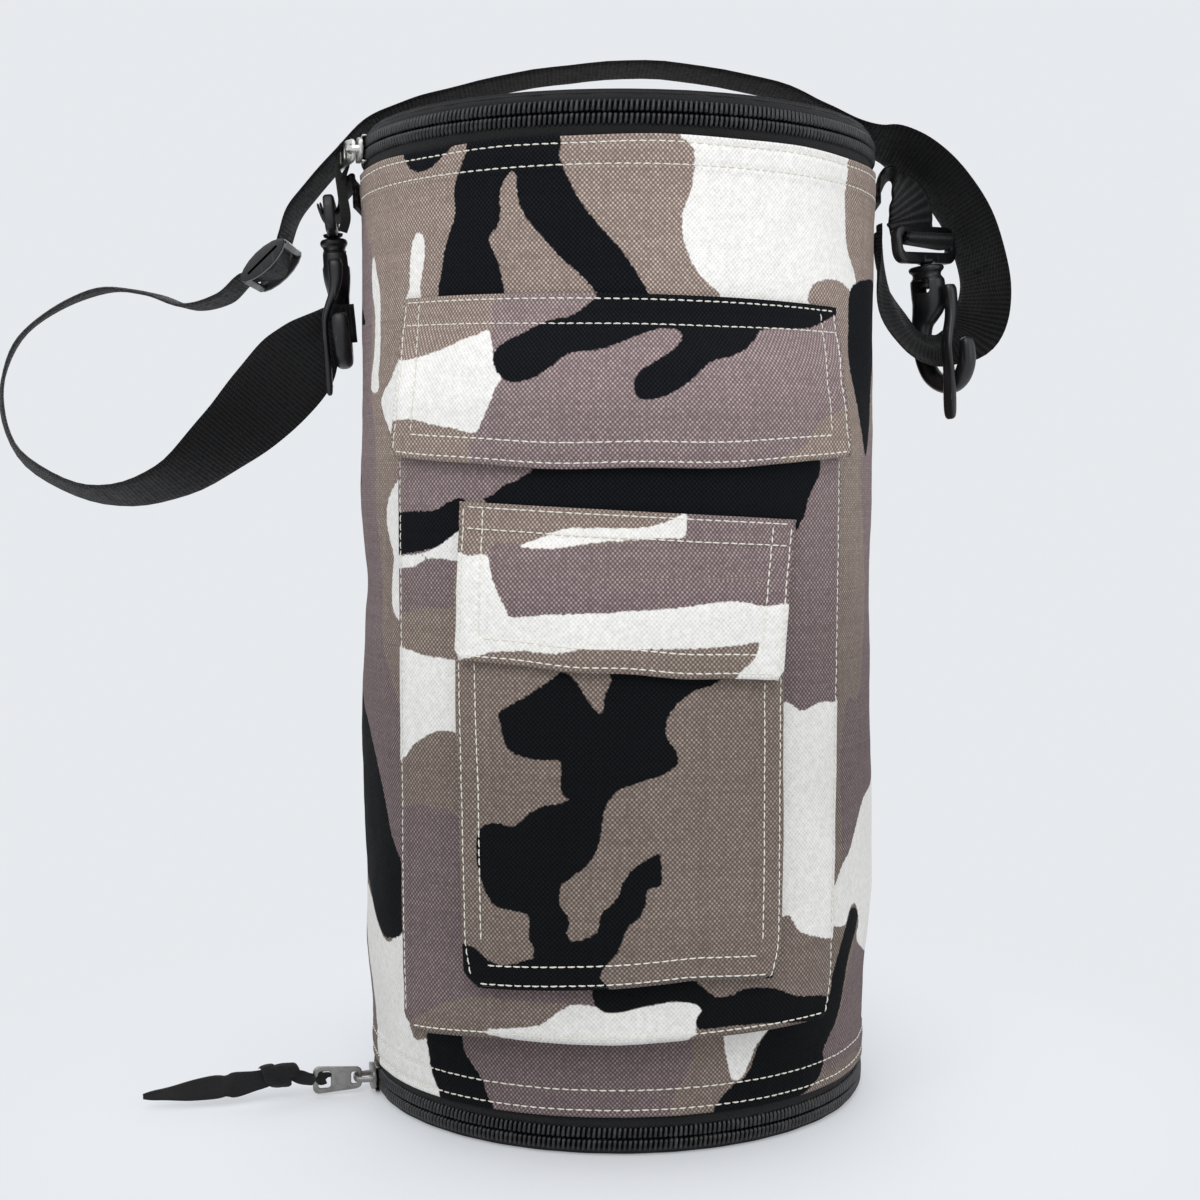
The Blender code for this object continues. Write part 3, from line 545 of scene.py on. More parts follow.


# The print seen on each panel: outlines as 'azimuth height' (degrees from the
# front, mm), read off.
PRINT = {
    "body": [
        ("B", "-29.5 417  -32.0 408  -33.7 401  -35.1 394  -34.8 384  -36.7 375  -38.1 365  -38.5 346  -24.1 344  -23.9 359  -25.0 366  -26.3 371  -26.3 375  -24.7 378  -24.0 383  -24.0 391  -22.9 397  -20.7 400  -20.3 392  -19.7 386  -17.6 379  -14.5 372  -11.4 365  -7.4 358  -3.1 348  -2.3 343  8.0 343  6.4 349  4.0 358  0.5 368  -3.5 377  -7.4 387  -10.0 397  -11.4 404  -12.8 415"),
        ("B", "-50.6 425  -50.3 413  -49.2 409  -46.8 405  -43.2 404  -40.0 406  -37.1 410  -34.0 414  -33.4 420"),
        ("W", "14.5 417  15.1 407  15.2 398  14.3 390  12.9 383  12.9 374  14.4 365  17.1 357  20.3 352  23.8 346  42.1 346  42.3 352  43.8 357  47.8 360  53.0 360  58.5 357  60.6 354  62.2 360  61.0 366  57.3 374  55.8 386  55.7 399  56.5 412  55.9 426"),
        ("W", "-50.7 348  -48.4 356  -48.4 362  -48.0 370  -47.3 376  -45.9 379  -44.3 378  -43.4 374  -43.7 365  -44.7 357  -44.7 347"),
        ("W", "-66.0 374  -63.3 365  -61.6 354  -61.8 333  -63.1 323  -63.2 315  -68.3 316  -67.4 325  -65.7 333  -64.9 346  -66.9 359"),
        ("W", "-50.0 329  -56.7 319  -61.4 312  -60.9 306  -57.8 299  -54.2 293  -48.7 293"),
        ("W", "-51.8 278  -56.6 269  -58.1 260  -56.7 251  -55.0 244  -55.9 236  -56.4 228  -55.6 221  -53.0 217  -49.9 218  -49.5 278"),
        ("G", "-82.3 385  -67.5 377  -67.0 355  -68.3 316  -64.8 290  -62.7 242  -60.7 208  -56.7 191  -52.4 174  -52.8 114  -58.2 128  -62.4 146  -67.9 162  -78.4 175  -82.1 188"),
        ("B", "-82.0 190  -82.3 186  -74.3 174  -67.9 162  -62.4 146  -58.2 128  -54.5 118  -52.0 110  -52.2 84  -58.5 78  -62.5 78  -66.5 85  -72.0 94  -82.2 103  -82.0 131"),
        ("W", "-82.2 89  -72.1 92  -66.5 84  -62.5 77  -58.6 76  -52.2 82  -52.4 49  -50.1 37  -45.1 39  -44.8 30  -43.2 23  -41.1 14  -44.9 13  -54.3 12  -68.3 14  -74.5 42"),
        ("B", "-45.1 43  -35.6 47  -34.5 39  -32.4 33  -29.9 28  -28.5 22  -26.6 10  -40.2 10  -41.4 16  -42.9 23  -44.8 30"),
        ("G", "-35.6 49  -34.5 39  -32.4 33  -29.9 28  -26.6 10  -11.6 10  4.6 11  10.3 12  11.7 24  14.4 32  15.7 40  15.3 48  15.3 54"),
        ("W", "22.2 53  22.9 43  23.6 36  24.8 29  27.1 29  28.8 34  30.2 41  32.7 46  35.3 50  36.4 54  22.2 58"),
        ("B", "66.3 87  62.2 90  59.5 84  56.6 74  53.6 60  50.4 50  35.9 52  33.8 48  31.2 42  30.0 36  28.8 31  26.9 28  24.8 26  22.3 22  20.5 13  30.8 14  45.6 17  51.3 25  51.7 33  56.4 41  59.3 51  61.3 67  66.4 81"),
        ("W", "82.1 147  82.3 143  69.8 137  63.7 126  59.7 116  56.3 111  51.7 97  51.7 87  58.9 84  61.1 90  64.8 91  68.0 82  66.5 76  70.1 70  81.8 62  82.0 71"),
        ("G", "68.2 71  82.4 61  82.0 58  82.0 20  67.3 23  56.5 24  51.8 23  51.7 33  57.3 41  60.3 50  62.5 65"),
        ("B", "60.5 360  57.6 343  58.2 326  62.2 311  66.4 298  70.0 287  73.0 301  73.9 321  82.3 340  82.3 364"),
        ("G", "66.5 287  70.9 242  69.5 206  65.1 181  58.1 182  55.5 148  56.7 112  59.7 116  63.7 126  69.8 137  82.3 143  82.1 149  82.1 288"),
    ],
    "large_pocket": [
        ("G", "-48.8 289  -9.9 288  -9.9 280  -17.1 276  -20.8 269  -27.8 267  -29.7 244  -29.7 227  -35.6 225  -49.2 227"),
        ("B", "-13.1 283  -17.1 277  -20.3 274  -21.8 271  -23.0 267  -3.0 259  14.4 257  31.0 255.5  34.2 260  35.5 268  35.6 289  -9.9 288"),
        ("B", "-44.1 263  -39.1 264  -35.4 264  -33.1 265  -30.9 268  -27.5 269  -27.6 259  -29.7 255  -33.2 250  -36.7 248  -43.1 246  -47.5 246  -47.1 260"),
        ("W", "-49.1 245  -40.4 246  -36.7 247  -33.2 250  -30.5 254  -27.6 257  -27.6 245  -33.2 245  -36.7 244  -39.9 241  -49.1 240"),
        ("G", "33.4 289  50.3 289  51.0 180  43.3 184  39.8 186  37.3 184  34.5 183  30.0 182  29.1 212  30.3 253  33.3 264  34.8 273"),
        ("W", "-49.3 205  -35.6 205  -30.0 204  -26.9 204  -26.9 174  -30.1 175  -33.4 175  -35.7 173  -38.2 170  -40.2 167  -42.3 162  -49.5 159"),
        ("G", "-49.7 131  -27.0 138  -27.1 76  -3.5 80  -3.5 68  -7.4 68  -13.7 68  -19.2 68  -25.1 68  -31.5 64  -36.1 59  -40.6 53  -43.1 50  -50.2 44"),
        ("W", "29.2 182  34.5 183  37.3 185  39.8 186  43.3 185  51.0 182  51.6 84  45.2 86  41.8 87  37.2 90  34.1 93  32.0 100  29.4 107"),
        ("B", "-3.5 84  4.0 84  11.0 84  12.8 79  14.1 76  15.7 73  17.6 70  20.2 70  22.6 72  26.2 72  29.9 70  32.6 67  36.1 65  41.1 63  50.1 57  50.1 49  32.6 55  22.2 57  14.7 57  14.1 62  15.0 65  13.2 68  9.2 69  6.6 68  4.0 67  0.5 65  -2.1 65  -3.5 67  -4.2 71"),
        ("W", "-3.0 67  -7.4 68  -10.1 65  -11.8 62  -14.4 58  -25.1 54  -17.4 51  4.0 51  13.2 53  14.1 61  15.0 65  13.2 68  9.2 69  4.0 67  0.5 65  -1.8 65"),
    ],
    "large_flap": [
        ("T", "-57.3 357  -22.0 353  -21.7 344  -21.8 334  -26.2 332  -32.4 328  -39.4 325  -49.3 324"),
        ("W", "-49.3 324  -39.4 325  -32.4 328  -27.3 332  -24.3 334  -22.1 335  -21.3 324  -20.0 317  -21.2 312  -22.3 306  -24.1 298  -25.1 295  -29.1 297  -34.5 299  -38.1 301  -46.0 303"),
        ("T", "-46.0 303  -38.1 301  -32.3 299  -25.3 295  -26.4 290  -27.4 281  -48.4 281"),
        ("B", "1.6 352  -3.4 347  -5.2 344  -8.0 340  -10.7 339  -13.5 337  -15.9 334  -19.0 331  -20.8 328  -21.5 325  -21.2 321  -20.4 318  -18.6 315  -16.2 315  -13.6 317  -11.0 321  -9.3 324  -7.6 326  -3.1 327  -0.5 329  4.1 333  6.8 335  9.6 335  10.8 332  9.8 328  6.6 323  3.9 319  2.8 315  2.8 311  3.8 308  6.3 308  8.9 310  11.6 314  14.0 319  16.2 323  19.5 325  22.3 328  24.1 333  25.9 336  34.6 337  39.0 341  42.5 344  53.4 348  54.7 357"),
        ("T", "49.1 309  44.5 307  41.8 304  37.9 301  35.9 295  33.1 289  28.8 284  48.1 280"),
    ],
    "small_flap": [
        ("G", "-20.2 251  -16.2 252  -9.4 251  -2.8 251  3.7 253  9.0 254  10.4 256  11.1 269  35.6 264  30.4 229  29.4 224  23.0 226  19.5 228  17.0 229  12.9 228  9.7 226  3.5 225  -2.7 224  -8.9 223  -13.7 223  -16.5 222  -17.7 227  -18.7 232  -20.0 239  -20.7 246"),
        ("W", "-15.5 251  -12.0 254  -9.5 257  -6.2 258  -1.2 258  3.7 258  7.1 260  9.2 262  10.2 264  10.9 262  10.7 257  10.0 254  7.0 254  0.4 253  -4.5 252  -9.4 250  -12.7 250"),
        ("W", "-30.7 247  -24.0 247  -20.9 247  -20.1 239  -18.7 231  -17.7 226  -16.5 223  -12.1 224  -2.7 225  3.5 226  9.7 227  12.9 228  16.2 229  19.5 229  23.9 227  30.3 225  30.1 193  19.5 195  19.4 201  21.5 205  22.7 210  22.5 213  19.5 212  12.9 211  3.5 211  -2.7 211  -5.8 211  -7.3 210  -10.5 209  -15.3 210  -20.3 209  -29.3 208"),
    ],
    "small_pocket": [
        ("B", "-19.3 185  -17.5 188  -14.1 193  -11.6 197  -10.0 200  -8.9 202  -7.3 200  -6.0 196  -4.7 191  -3.4 187  -2.3 186  -2.0 193  -0.9 199  0.1 207  20.1 206  15.8 197  13.3 195  10.8 192  8.7 187  7.8 182  7.8 177  8.7 173  9.7 169  9.4 165  7.6 162  5.2 160  2.8 158  0.4 156  -1.2 152  -2.1 147  -2.5 140  -3.1 134  -4.4 127  -6.8 122  -8.9 118  -9.2 115  -9.2 110  -7.9 106  -7.6 102  -8.1 99  -7.3 96  -5.2 97  -3.1 100  -2.8 106  -1.2 110  -0.1 113  0.4 116  1.5 122  3.6 127  6.0 130  6.8 131  7.0 118  4.9 117  4.4 110  3.3 105  1.7 102  0.9 97  0.1 92  -1.2 88  -2.8 82  -3.4 74  -30.7 69  -30.7 91  -26.0 91  -23.9 90  -22.1 87  -20.3 85  -17.7 85  -15.1 87  -13.4 89  -13.6 93  -14.2 97  -14.2 103  -14.6 106  -17.6 107  -19.9 108  -21.5 112  -22.6 118  -23.5 126  -23.3 136  -22.0 140  -19.3 141  -17.2 140  -15.9 142  -14.2 146  -11.7 149  -7.9 151  -8.4 153  -9.1 157  -8.9 163  -9.2 167  -12.5 167  -15.0 168  -17.2 170  -18.4 174  -18.9 180"),
        ("B", "24.7 76  26.2 79  28.5 81  31.7 80  31.8 69  24.7 71"),
    ],
}


# ------------------------------------------------------------------ camo print
RAD = {"body": 116.0, "large_pocket": 131.0, "large_flap": 133.9, "small_flap": 143.4, "small_pocket": 140.2}


def curve_closed(pts, per=4):
    n = len(pts)
    out = []
    for i in range(n):
        p0, p1, p2, p3 = pts[i - 1], pts[i], pts[(i + 1) % n], pts[(i + 2) % n]
        for k in range(per):
            t = k / per
            out.append([0.5 * (2 * p1[j] + (p2[j] - p0[j]) * t + (2 * p0[j] - 5 * p1[j] + 4 * p2[j] - p3[j]) * t * t
                               + (-p0[j] + 3 * p1[j] - 3 * p2[j] + p3[j]) * t ** 3) for j in (0, 1)])
    return np.array(out)


def outlines(panel):
    """[(colour, (n, 2) array in mm)] of the print seen on a panel."""
    k = PI / 180 * RAD[panel]
    out = []
    for c, s in PRINT[panel]:
        q = [tuple(map(float, w.split())) for w in s.split("  ")]
        out.append((c, np.array([(a * k, z) for a, z in q])))
    return out


def signed(poly, pts, far=5.0):
    """Distance to a closed outline in mm, positive inside, no less than -far."""
    d = np.full(len(pts), -far)
    lo, hi = poly.min(0) - far, poly.max(0) + far
    near = np.where(((pts > lo) & (pts < hi)).all(1))[0]
    if not len(near):
        return d
    p = pts[near]
    best = np.full(len(p), 1e9)
    inside = np.zeros(len(p), bool)
    for a, b in zip(poly, np.roll(poly, -1, 0)):
        e = b - a
        w = p - a
        t = np.clip((w @ e) / max(e @ e, 1e-9), 0, 1)
        r = w - t[:, None] * e
        best = np.minimum(best, (r * r).sum(1))
        if abs(e[1]) > 1e-12:
            hit = ((a[1] > p[:, 1]) != (b[1] > p[:, 1])) & (p[:, 0] < a[0] + (p[:, 1] - a[1]) * e[0] / e[1])
            inside ^= hit
    s = np.sqrt(best)
    d[near] = np.maximum(np.where(inside, s, -s), -far)
    return d


def motifs():
    """The same shapes cut loose, for the cloth the photograph doesn't show."""
    bag = {"B": [], "W": [], "G": []}
    for panel, k, c in (("small_pocket", 0, "B"), ("body", 0, "B"), ("large_flap", 3, "B"), ("body", 2, "W"),
                        ("large_flap", 1, "W"), ("large_pocket", 5, "W"), ("small_flap", 2, "W"), ("large_pocket", 9, "W"),
                        ("small_flap", 0, "G"), ("large_pocket", 4, "G"), ("large_pocket", 6, "G"), ("body", 11, "G"),
                        ("large_pocket", 8, "B"), ("large_pocket", 1, "B"), ("body", 13, "B")):
        q = outlines(panel)[k][1]
        bag[c].append(q - q.mean(0))
    return bag


MOTIFS = motifs()


def scatter(seed, u0, u1, v0, v1, plan):
    """Loose print shapes over a region: plan is [(colour, step, scale, share)]."""
    r = random.Random(seed)
    out = []
    for c, step, scale, share in plan:
        nu, nv = max(1, round((u1 - u0) / step)), max(1, round((v1 - v0) / step))
        for i in range(nu):
            for j in range(nv):
                if r.random() > share:
                    continue
                q = r.choice(MOTIFS[c])
                a = r.choice((0, PI, PI, 0)) + r.uniform(-0.6, 0.6)
                fl = r.choice((-1, 1))
                size = scale * r.uniform(0.8, 1.15) * 62.0 / max(np.ptp(q, axis=0).max(), 1)
                rot = np.array([[math.cos(a), -math.sin(a)], [math.sin(a), math.cos(a)]])
                at = (u0 + (i + 0.5 + r.uniform(-0.3, 0.3)) * (u1 - u0) / nu, v0 + (j + 0.5 + r.uniform(-0.3, 0.3)) * (v1 - v0) / nv)
                out.append((c, (q * (fl, 1)) @ rot.T * size + at))
    return out


def seen(panel, P):
    """Points (mm) moved along the sight line onto the radius the panel's
    outlines were read at, as (mm round, mm up)."""
    R = RAD[panel]
    C = np.array([0.0, -874.0, 274.1])
    D = P - C
    a = D[..., 0] ** 2 + D[..., 1] ** 2
    b = 2 * (C[0] * D[..., 0] + C[1] * D[..., 1])
    c = C[0] ** 2 + C[1] ** 2 - R * R
    t = (-b - np.sqrt(np.maximum(b * b - 4 * a * c, 0.0))) / (2 * a)
    Q = C + D * t[..., None]
    return np.stack([np.arctan2(Q[..., 0], -Q[..., 1]) * R, Q[..., 2]], -1)


def camo(shapes, uv, base="T"):
    """Attributes dG, dW, dB for points uv (mm)."""
    pts = uv.reshape(-1, 2)
    best = {c: np.full(len(pts), -5.0) for c in "TGWB"}
    for c, q in shapes:
        s = signed(curve_closed([tuple(p) for p in q]), pts)
        best[c] = np.maximum(best[c], s)
    if base == "G":
        best["G"] = -best["T"]
    # the last attribute is a 0 to 1 height ramp for painted light: lighter at the top, painted shade lower down
    return {"dG": best["G"], "dW": best["W"], "dB": best["B"], "tone": smooth01((pts[:, 1] - 140.0) / 210.0)}


# ------------------------------------------------------------------ the wall
def taper(z):
    """The empty bag draws in towards its bottom edge (mm off the radius)."""
    return 3.0 * smooth01((92.0 - np.asarray(z, float)) / 72.0)


BROAD = Waves(11, 7, 120.0, 260.0)
MID = Waves(12, 9, 34.0, 70.0)
FINE = Waves(13, 12, 9.0, 20.0)
TOP_ROWS = (409.7, 401.2)
BOT_ROWS = (18.8, 27.3)


def wall_r(az, z):
    """Outside radius of the canvas."""
    az, z = np.broadcast_arrays(np.asarray(az, float), np.asarray(z, float))
    p = pol(116.0, az, z)
    mid = smooth01((z - 30) / 40) * smooth01((398 - z) / 40)
    r = 116.0 - taper(z) + 0.55 * BROAD(p) * mid + 0.40 * MID(p) * mid + 0.10 * FINE(p)
    left = bell(((az + 90 + 180) % 360) - 180, 34)
    r = r + left * (1.5 * bell(z - 272, 20) - 1.6 * bell(z - 232, 13) + 1.6 * bell(z - 170, 34) - 0.9 * bell(z - 92, 22))
    right = bell(((az - 90 + 180) % 360) - 180, 34)
    r = r + right * (0.9 * bell(z - 120, 30) - 0.8 * bell(z - 60, 20))
    for edge, rows, s in ((412.5, TOP_ROWS, 1), (16.0, BOT_ROWS, -1)):
        inn = (edge - z) * s
        r = r + 0.55 * smooth01((14.2 - inn) / 1.6)
        pucker = np.sin(np.radians(az) * 116.0 / (1.25 + 0.12 * np.sin(np.radians(az) * 5)) + 1.6 * np.sin(np.radians(az) * 9))
        r = r + 0.28 * pucker * bell(inn - 7.0, 3.2)
        r = r + 0.22 * pucker * bell(inn - 16.5, 4.0)
        for row in rows:
            r = r - 0.55 * bell(z - row, 1.0)
    return r


def wall_z(az, z):
    """Hem edges wander a little."""
    a = np.radians(az)
    return z + 0.5 * np.sin(3 * a + 1) * (smooth01((z - 390) / 20) + smooth01((40 - z) / 20)) + 0.25 * np.sin(11 * a) * smooth01((z - 400) / 10)


def rows_of(*spans):
    out = []
    for a, b, step in spans:
        n = max(1, round((b - a) / step))
        out += [a + (b - a) * i / n for i in range(n)]
    return np.array(out + [spans[-1][1]])


Z = rows_of((16.0, 34.0, 0.85), (34.0, 394.0, 2.5), (394.0, 412.5, 0.85))
AZ = np.linspace(-180, 180, 305)
zz, aa = np.meshgrid(Z, AZ, indexing="ij")
pts = pol(wall_r(aa, zz), aa, wall_z(aa, zz))
U = np.radians(aa) * 116.0
k116 = PI / 180 * 116.0
shapes = outlines("body")
for c, q in list(shapes):
    # carry shapes that run off the visible edge round to the side
    for edge in (-82.0, 82.0):
        if (q[:, 0] / k116 * np.sign(edge)).max() > 81.0:
            m = q.copy()
            m[:, 0] = 2 * edge * k116 - m[:, 0]
            shapes.append((c, m))
loose = scatter(21, 103 * k116, 257 * k116, 12, 420, [("G", 92, 1.7, 1.0), ("W", 80, 1.15, 0.8), ("B", 84, 1.25, 0.72)])
loose += [("B", q * (1, 1)) for c, q in scatter(31, 88 * k116, 108 * k116, 30, 400, [("B", 125, 1.0, 0.9)])]
loose += [("B", q) for c, q in scatter(37, 252 * k116, 271 * k116, 30, 400, [("B", 130, 1.0, 0.9)])]
wrap = 360 * k116
shapes += loose + [(c, q - (wrap, 0)) for c, q in loose]
body = sheet("canvas_body", pts, np.stack([U, zz, 0 * U], -1), [CANVAS, BACK], 1.0,
             camo(shapes, np.stack([U, zz], -1)), back=1, flip=False)
keep(outward(body), "bag", "body_shell")


def band(name, r_of, z_rows, half, thick, mats, at=0.0, n=None, u_scale=114.0, attrs=None, edge=0.0):
    """Cloth strip round the bag: r_of(az, z) is its outer face."""
    n = n or int(2 * half / 1.2)
    az = np.linspace(at - half, at + half, n)
    z, a = np.meshgrid(np.array(z_rows, float), az, indexing="ij")
    p = pol(r_of(a, z), a, z)
    u = np.radians(a) * u_scale
    return outward(sheet(name, p, np.stack([u, z, 0 * u], -1), mats, thick, attrs))


full = dict(half=180.0, n=200)
foam = band("foam_liner", lambda a, z: wall_r(a, z) - 1.35 - 0.25 * (1 + MID(pol(116.0, a, z))) * 0.5,
            rows_of((20.5, 408.0, 9.0)), 180.0, 5.4, FOAM, n=160)
keep(foam, "bag", "foam_wall")
lin = band("lining_wall", lambda a, z: 108.3 - taper(z) + 0.22 * MID(pol(116.0, a, z) * 1.7),
           rows_of((20.5, 408.0, 6.0)), 180.0, 0.5, LINING, n=200)
keep(lin, "bag", "lining")

# ------------------------------------------------------------------ zips
PITCH = 2.15


def zip_half(name, body_name, node, r_mid, z_out, z_in, tz):
    """One half of the coil: teeth from the tape edge z_out to the line z_in."""
    n = int(math.radians(300.0) * r_mid / PITCH)
    verts, faces, crown, wv = [], [], [], []
    sgn = 1.0 if z_in > z_out else -1.0
    length = abs(z_in - z_out)
    # (along tooth 0-1, half width, half depth, slant)
    prof = [(-0.02, 0.15, 0.3), (0.06, 0.62, 1.15), (0.30, 0.80, 1.75), (0.62, 0.80, 1.85), (0.86, 0.98, 1.9), (0.98, 0.72, 1.3), (1.04, 0.2, 0.4)]
    sides = 8
    for i in range(n):
        az0 = -150.0 + 300.0 * (i + 0.5) / n
        ring0 = len(verts)
        jit = 0.04 * math.sin(i * 12.9898)
        for t, hw, hd in prof:
            z = z_out + sgn * length * t
            slant = sgn * (t - 0.5) * 0.5
            for k in range(sides):
                c, s = math.cos(2 * PI * (k + 0.5) / sides), math.sin(2 * PI * (k + 0.5) / sides)
                c, s = math.copysign(abs(c) ** 0.8, c), math.copysign(abs(s) ** 0.8, s)
                az = az0 + math.degrees((c * hw + slant + jit) / r_mid)
                r = r_mid - taper(z) * tz + s * hd
                a = math.radians(az)
                verts.append((r * math.sin(a), -r * math.cos(a), z))
                crown.append(max(0.0, s))
                wv.append((0, 0, 0))
        m = len(prof)
        for q in range(m - 1):
            for k in range(sides):
                a0, a1 = ring0 + q * sides + k, ring0 + q * sides + (k + 1) % sides
                f = (a0, a1, a1 + sides, a0 + sides)
                faces.append(f if sgn < 0 else f[::-1])
        e0 = tuple(ring0 + k for k in range(sides))
        e1 = tuple(ring0 + (m - 1) * sides + k for k in range(sides))
        faces.append(e0[::-1] if sgn < 0 else e0)
        faces.append(e1 if sgn < 0 else e1[::-1])
    # a woven core strip behind the teeth
    ob = make(name, verts, faces, COIL, {"crown": crown}, {"wv": wv})
    keep(outward(ob), body_name, node)
    core = band(name + "_core", lambda a, z: 113.4 - taper(z) * tz + 0 * a, sorted((z_out, (z_out + z_in) / 2, z_in - sgn * 0.3)), 150.0, 0.8, TAPE, n=150)
    keep(core, body_name, slot=node)


for top in (True, False):
    tz = 0.0 if top else 1.0
    side = "top" if top else "bottom"
    if top:
        zip_half("top_teeth_body", "bag", "top_coil_body", 114.4, 416.8, 421.5, tz)
        zip_half("top_teeth_lid", "top_lid", "top_coil_lid", 114.4, 426.8, 422.1, tz)
    else:
        zip_half("bottom_teeth_body", "bag", "bottom_coil_body", 114.4, 12.0, 7.3, tz)
        zip_half("bottom_teeth_lid", "bottom_lid", "bottom_coil_lid", 114.4, 2.0, 6.7, tz)
    # tapes
    lo, hi = (407.6, 417.4) if top else (11.4, 20.6)
    out = (lambda z: (z - lo) / (hi - lo)) if top else (lambda z: (hi - z) / (hi - lo))
    t1 = band(side + "_tape_outer", lambda a, z: 114.1 - taper(z) * tz + 0.5 * smooth01((out(z) - 0.45) / 0.2) + 0.08 * FINE(pol(116.0, a, z) * 2),
              rows_of((lo, hi, 0.8)), 150.0, 0.7, TAPE, n=260)
    keep(t1, "bag", side + "_tape_body")

    def lid_tape(a, z):
        e = (z - 425.9) / 5.0 if top else (2.9 - z) / 3.0
        e = np.clip(e, 0, 1)
        return 114.9 - taper(z) * tz - 2.6 * e ** 2.2 + 0.08 * FINE(pol(116.0, a, z) * 2)

    t2 = band(side + "_tape_inner", lid_tape, rows_of((425.9, 431.4, 0.6)) if top else rows_of((0.25, 2.9, 0.45)), 150.0, 0.7, TAPE, n=260)
    keep(t2, side + "_lid", side + "_tape_lid")

# ------------------------------------------------------------------ lids
def lid(side):
    top = side == "top"
    s = 1.0 if top else -1.0
    rim_r = 112.9 if top else 110.4
    z_rim = 430.6 if top else 0.55
    rings = rows_of((0.0, 104.0, 2.6), (104.0, rim_r, 1.0))
    n = 180
    R, A = np.meshgrid(rings, np.linspace(0, 360, n, endpoint=False), indexing="ij")
    x, y = R * np.cos(np.radians(A)), R * np.sin(np.radians(A))
    f = np.clip(R / rim_r, 0, 1)
    w = Waves(41 if top else 42, 8, 60, 150)(np.stack([x, y, 0 * x], -1))
    if top:
        zz = z_rim + 2.6 * (1 - f ** 4) + 0.5 * w * (1 - f ** 6) - 0.9 * smooth01((f - 0.965) / 0.035)
    else:
        zz = z_rim + 1.5 * (1 - f ** 3) * 0.6 + 0.0 * w
        zz = np.maximum(zz, 0.25)
    P = np.stack([x, y, zz], -1)
    sh = scatter(51 if top else 52, -118, 118, -118, 118, [("G", 84, 1.6, 1.0), ("W", 70, 1.1, 0.85), ("B", 74, 1.15, 0.8)])
    ob = sheet(side + "_lid_canvas", P, np.stack([x, y, 0 * x], -1), [CANVAS, BACK], 0.9, camo(sh, np.stack([x, y], -1)),
               close_u=True, back=1, flip=top)
    bm = bmesh.new(); bm.from_mesh(ob.data)
    bmesh.ops.remove_doubles(bm, verts=bm.verts, dist=1e-6)
    bmesh.ops.recalc_face_normals(bm, faces=bm.faces)
    bm.to_mesh(ob.data); bm.free()
    keep(ob, side + "_lid", side + "_lid_panel")
    # binding folded over the edge
    prof = [(rim_r - 7.4, 0.0), (rim_r - 6.8, 0.7), (rim_r - 3, 0.85), (rim_r + 0.1, 0.55), (rim_r + 1.0, -0.4), (rim_r + 0.7, -1.5), (rim_r - 0.4, -1.2), (rim_r - 3.0, -0.1)]
    if not top:
        prof = [(r, min(z, 0.5)) for r, z in prof]
    m = 220
    az = np.linspace(0, 360, m, endpoint=False)
    ring_pts = []
    for r, dz in prof:
        rr = r + 0.12 * np.sin(np.radians(az) * 37) * (1 if r > rim_r - 1 else 0.3)
        if top:
            q = np.clip(r / rim_r, 0, 1)
            base = z_rim + 2.6 * (1 - q ** 4) - 0.9 * float(smooth01((q - 0.965) / 0.035)) + 0.1
            z = base + dz * 0.75
        else:
            z = max(0.12, z_rim - dz * 0.55)
        ring_pts.append(pol(rr, az, z))
    P = np.array(ring_pts)
    k = len(prof)
    fcs = []
    for i in range(k):
        for j in range(m):
            a, b = i * m + j, i * m + (j + 1) % m
            c, d = ((i + 1) % k) * m + (j + 1) % m, ((i + 1) % k) * m + j
            fcs.append((a, b, c, d))
    wv = np.stack([np.repeat(np.arange(k) * 2.0, m), np.tile(np.radians(az) * rim_r, k), np.zeros(k * m)], -1)
    b = outward(make(side + "_lid_binding", P.reshape(-1, 3), fcs, BINDING, None, {"wv": wv}))
    keep(b, side + "_lid", slot=side + "_lid_panel")
    # foam and lining under the canvas
    for nm, node, r, z0, th, mat, quilt in (("foam_pad", "lid_foam", 107.2, 423.4 if top else 2.0, 4.6, FOAM, 0.0), ("lining_disc", "lid_lining", 106.8, 422.3 if top else 7.3, 0.5, LINING, 0.35)):
        rings = rows_of((0.0, 96.0, 4.0), (96.0, r, 2.0))
        R, A = np.meshgrid(rings, np.linspace(0, 360, 120, endpoint=False), indexing="ij")
        x, y = R * np.cos(np.radians(A)), R * np.sin(np.radians(A))
        w = Waves(61, 8, 30, 80)(np.stack([x, y, 0 * x], -1))
        zz = z0 + (0.25 * w * s * quilt) + s * 0.5 * smooth01((R - r + 4) / 4)
        P = np.stack([x, y, zz], -1)
        o = sheet(f"{side}_lid_{nm}", P, np.stack([x, y, 0 * x], -1), mat, th, close_u=True, flip=False)
        bm = bmesh.new(); bm.from_mesh(o.data)
        bmesh.ops.remove_doubles(bm, verts=bm.verts, dist=1e-6)
        bmesh.ops.recalc_face_normals(bm, faces=bm.faces)
        bm.to_mesh(o.data); bm.free()
        keep(o, side + "_lid", f"{side}_{node}")


lid("top")
lid("bottom")

# hinge strips at the back, where the zips stop
for side, z0, z1, hold, move in (("top", 407.8, 430.0, (0, 114.2, 414.5), (0, 114.2, 427.5)), ("bottom", 0.6, 20.8, (0, 112.6, 14.5), (0, 112.6, 2.5))):
    tz = 0.0 if side == "top" else 1.0
    h = band(side + "_hinge_strip", lambda a, z: 114.9 - taper(z) * tz + 0.12 * np.sin(np.asarray(z) * 2.2),
             rows_of((z0, z1, 0.9)), 31.0, 0.9, BINDING, at=180.0, n=64)
    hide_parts(side + "_lid_hinge")
    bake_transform(h)


# ------------------------------------------------------------------ pockets
def lerp_table(x, xs, ys):
    return np.interp(x, xs, ys)


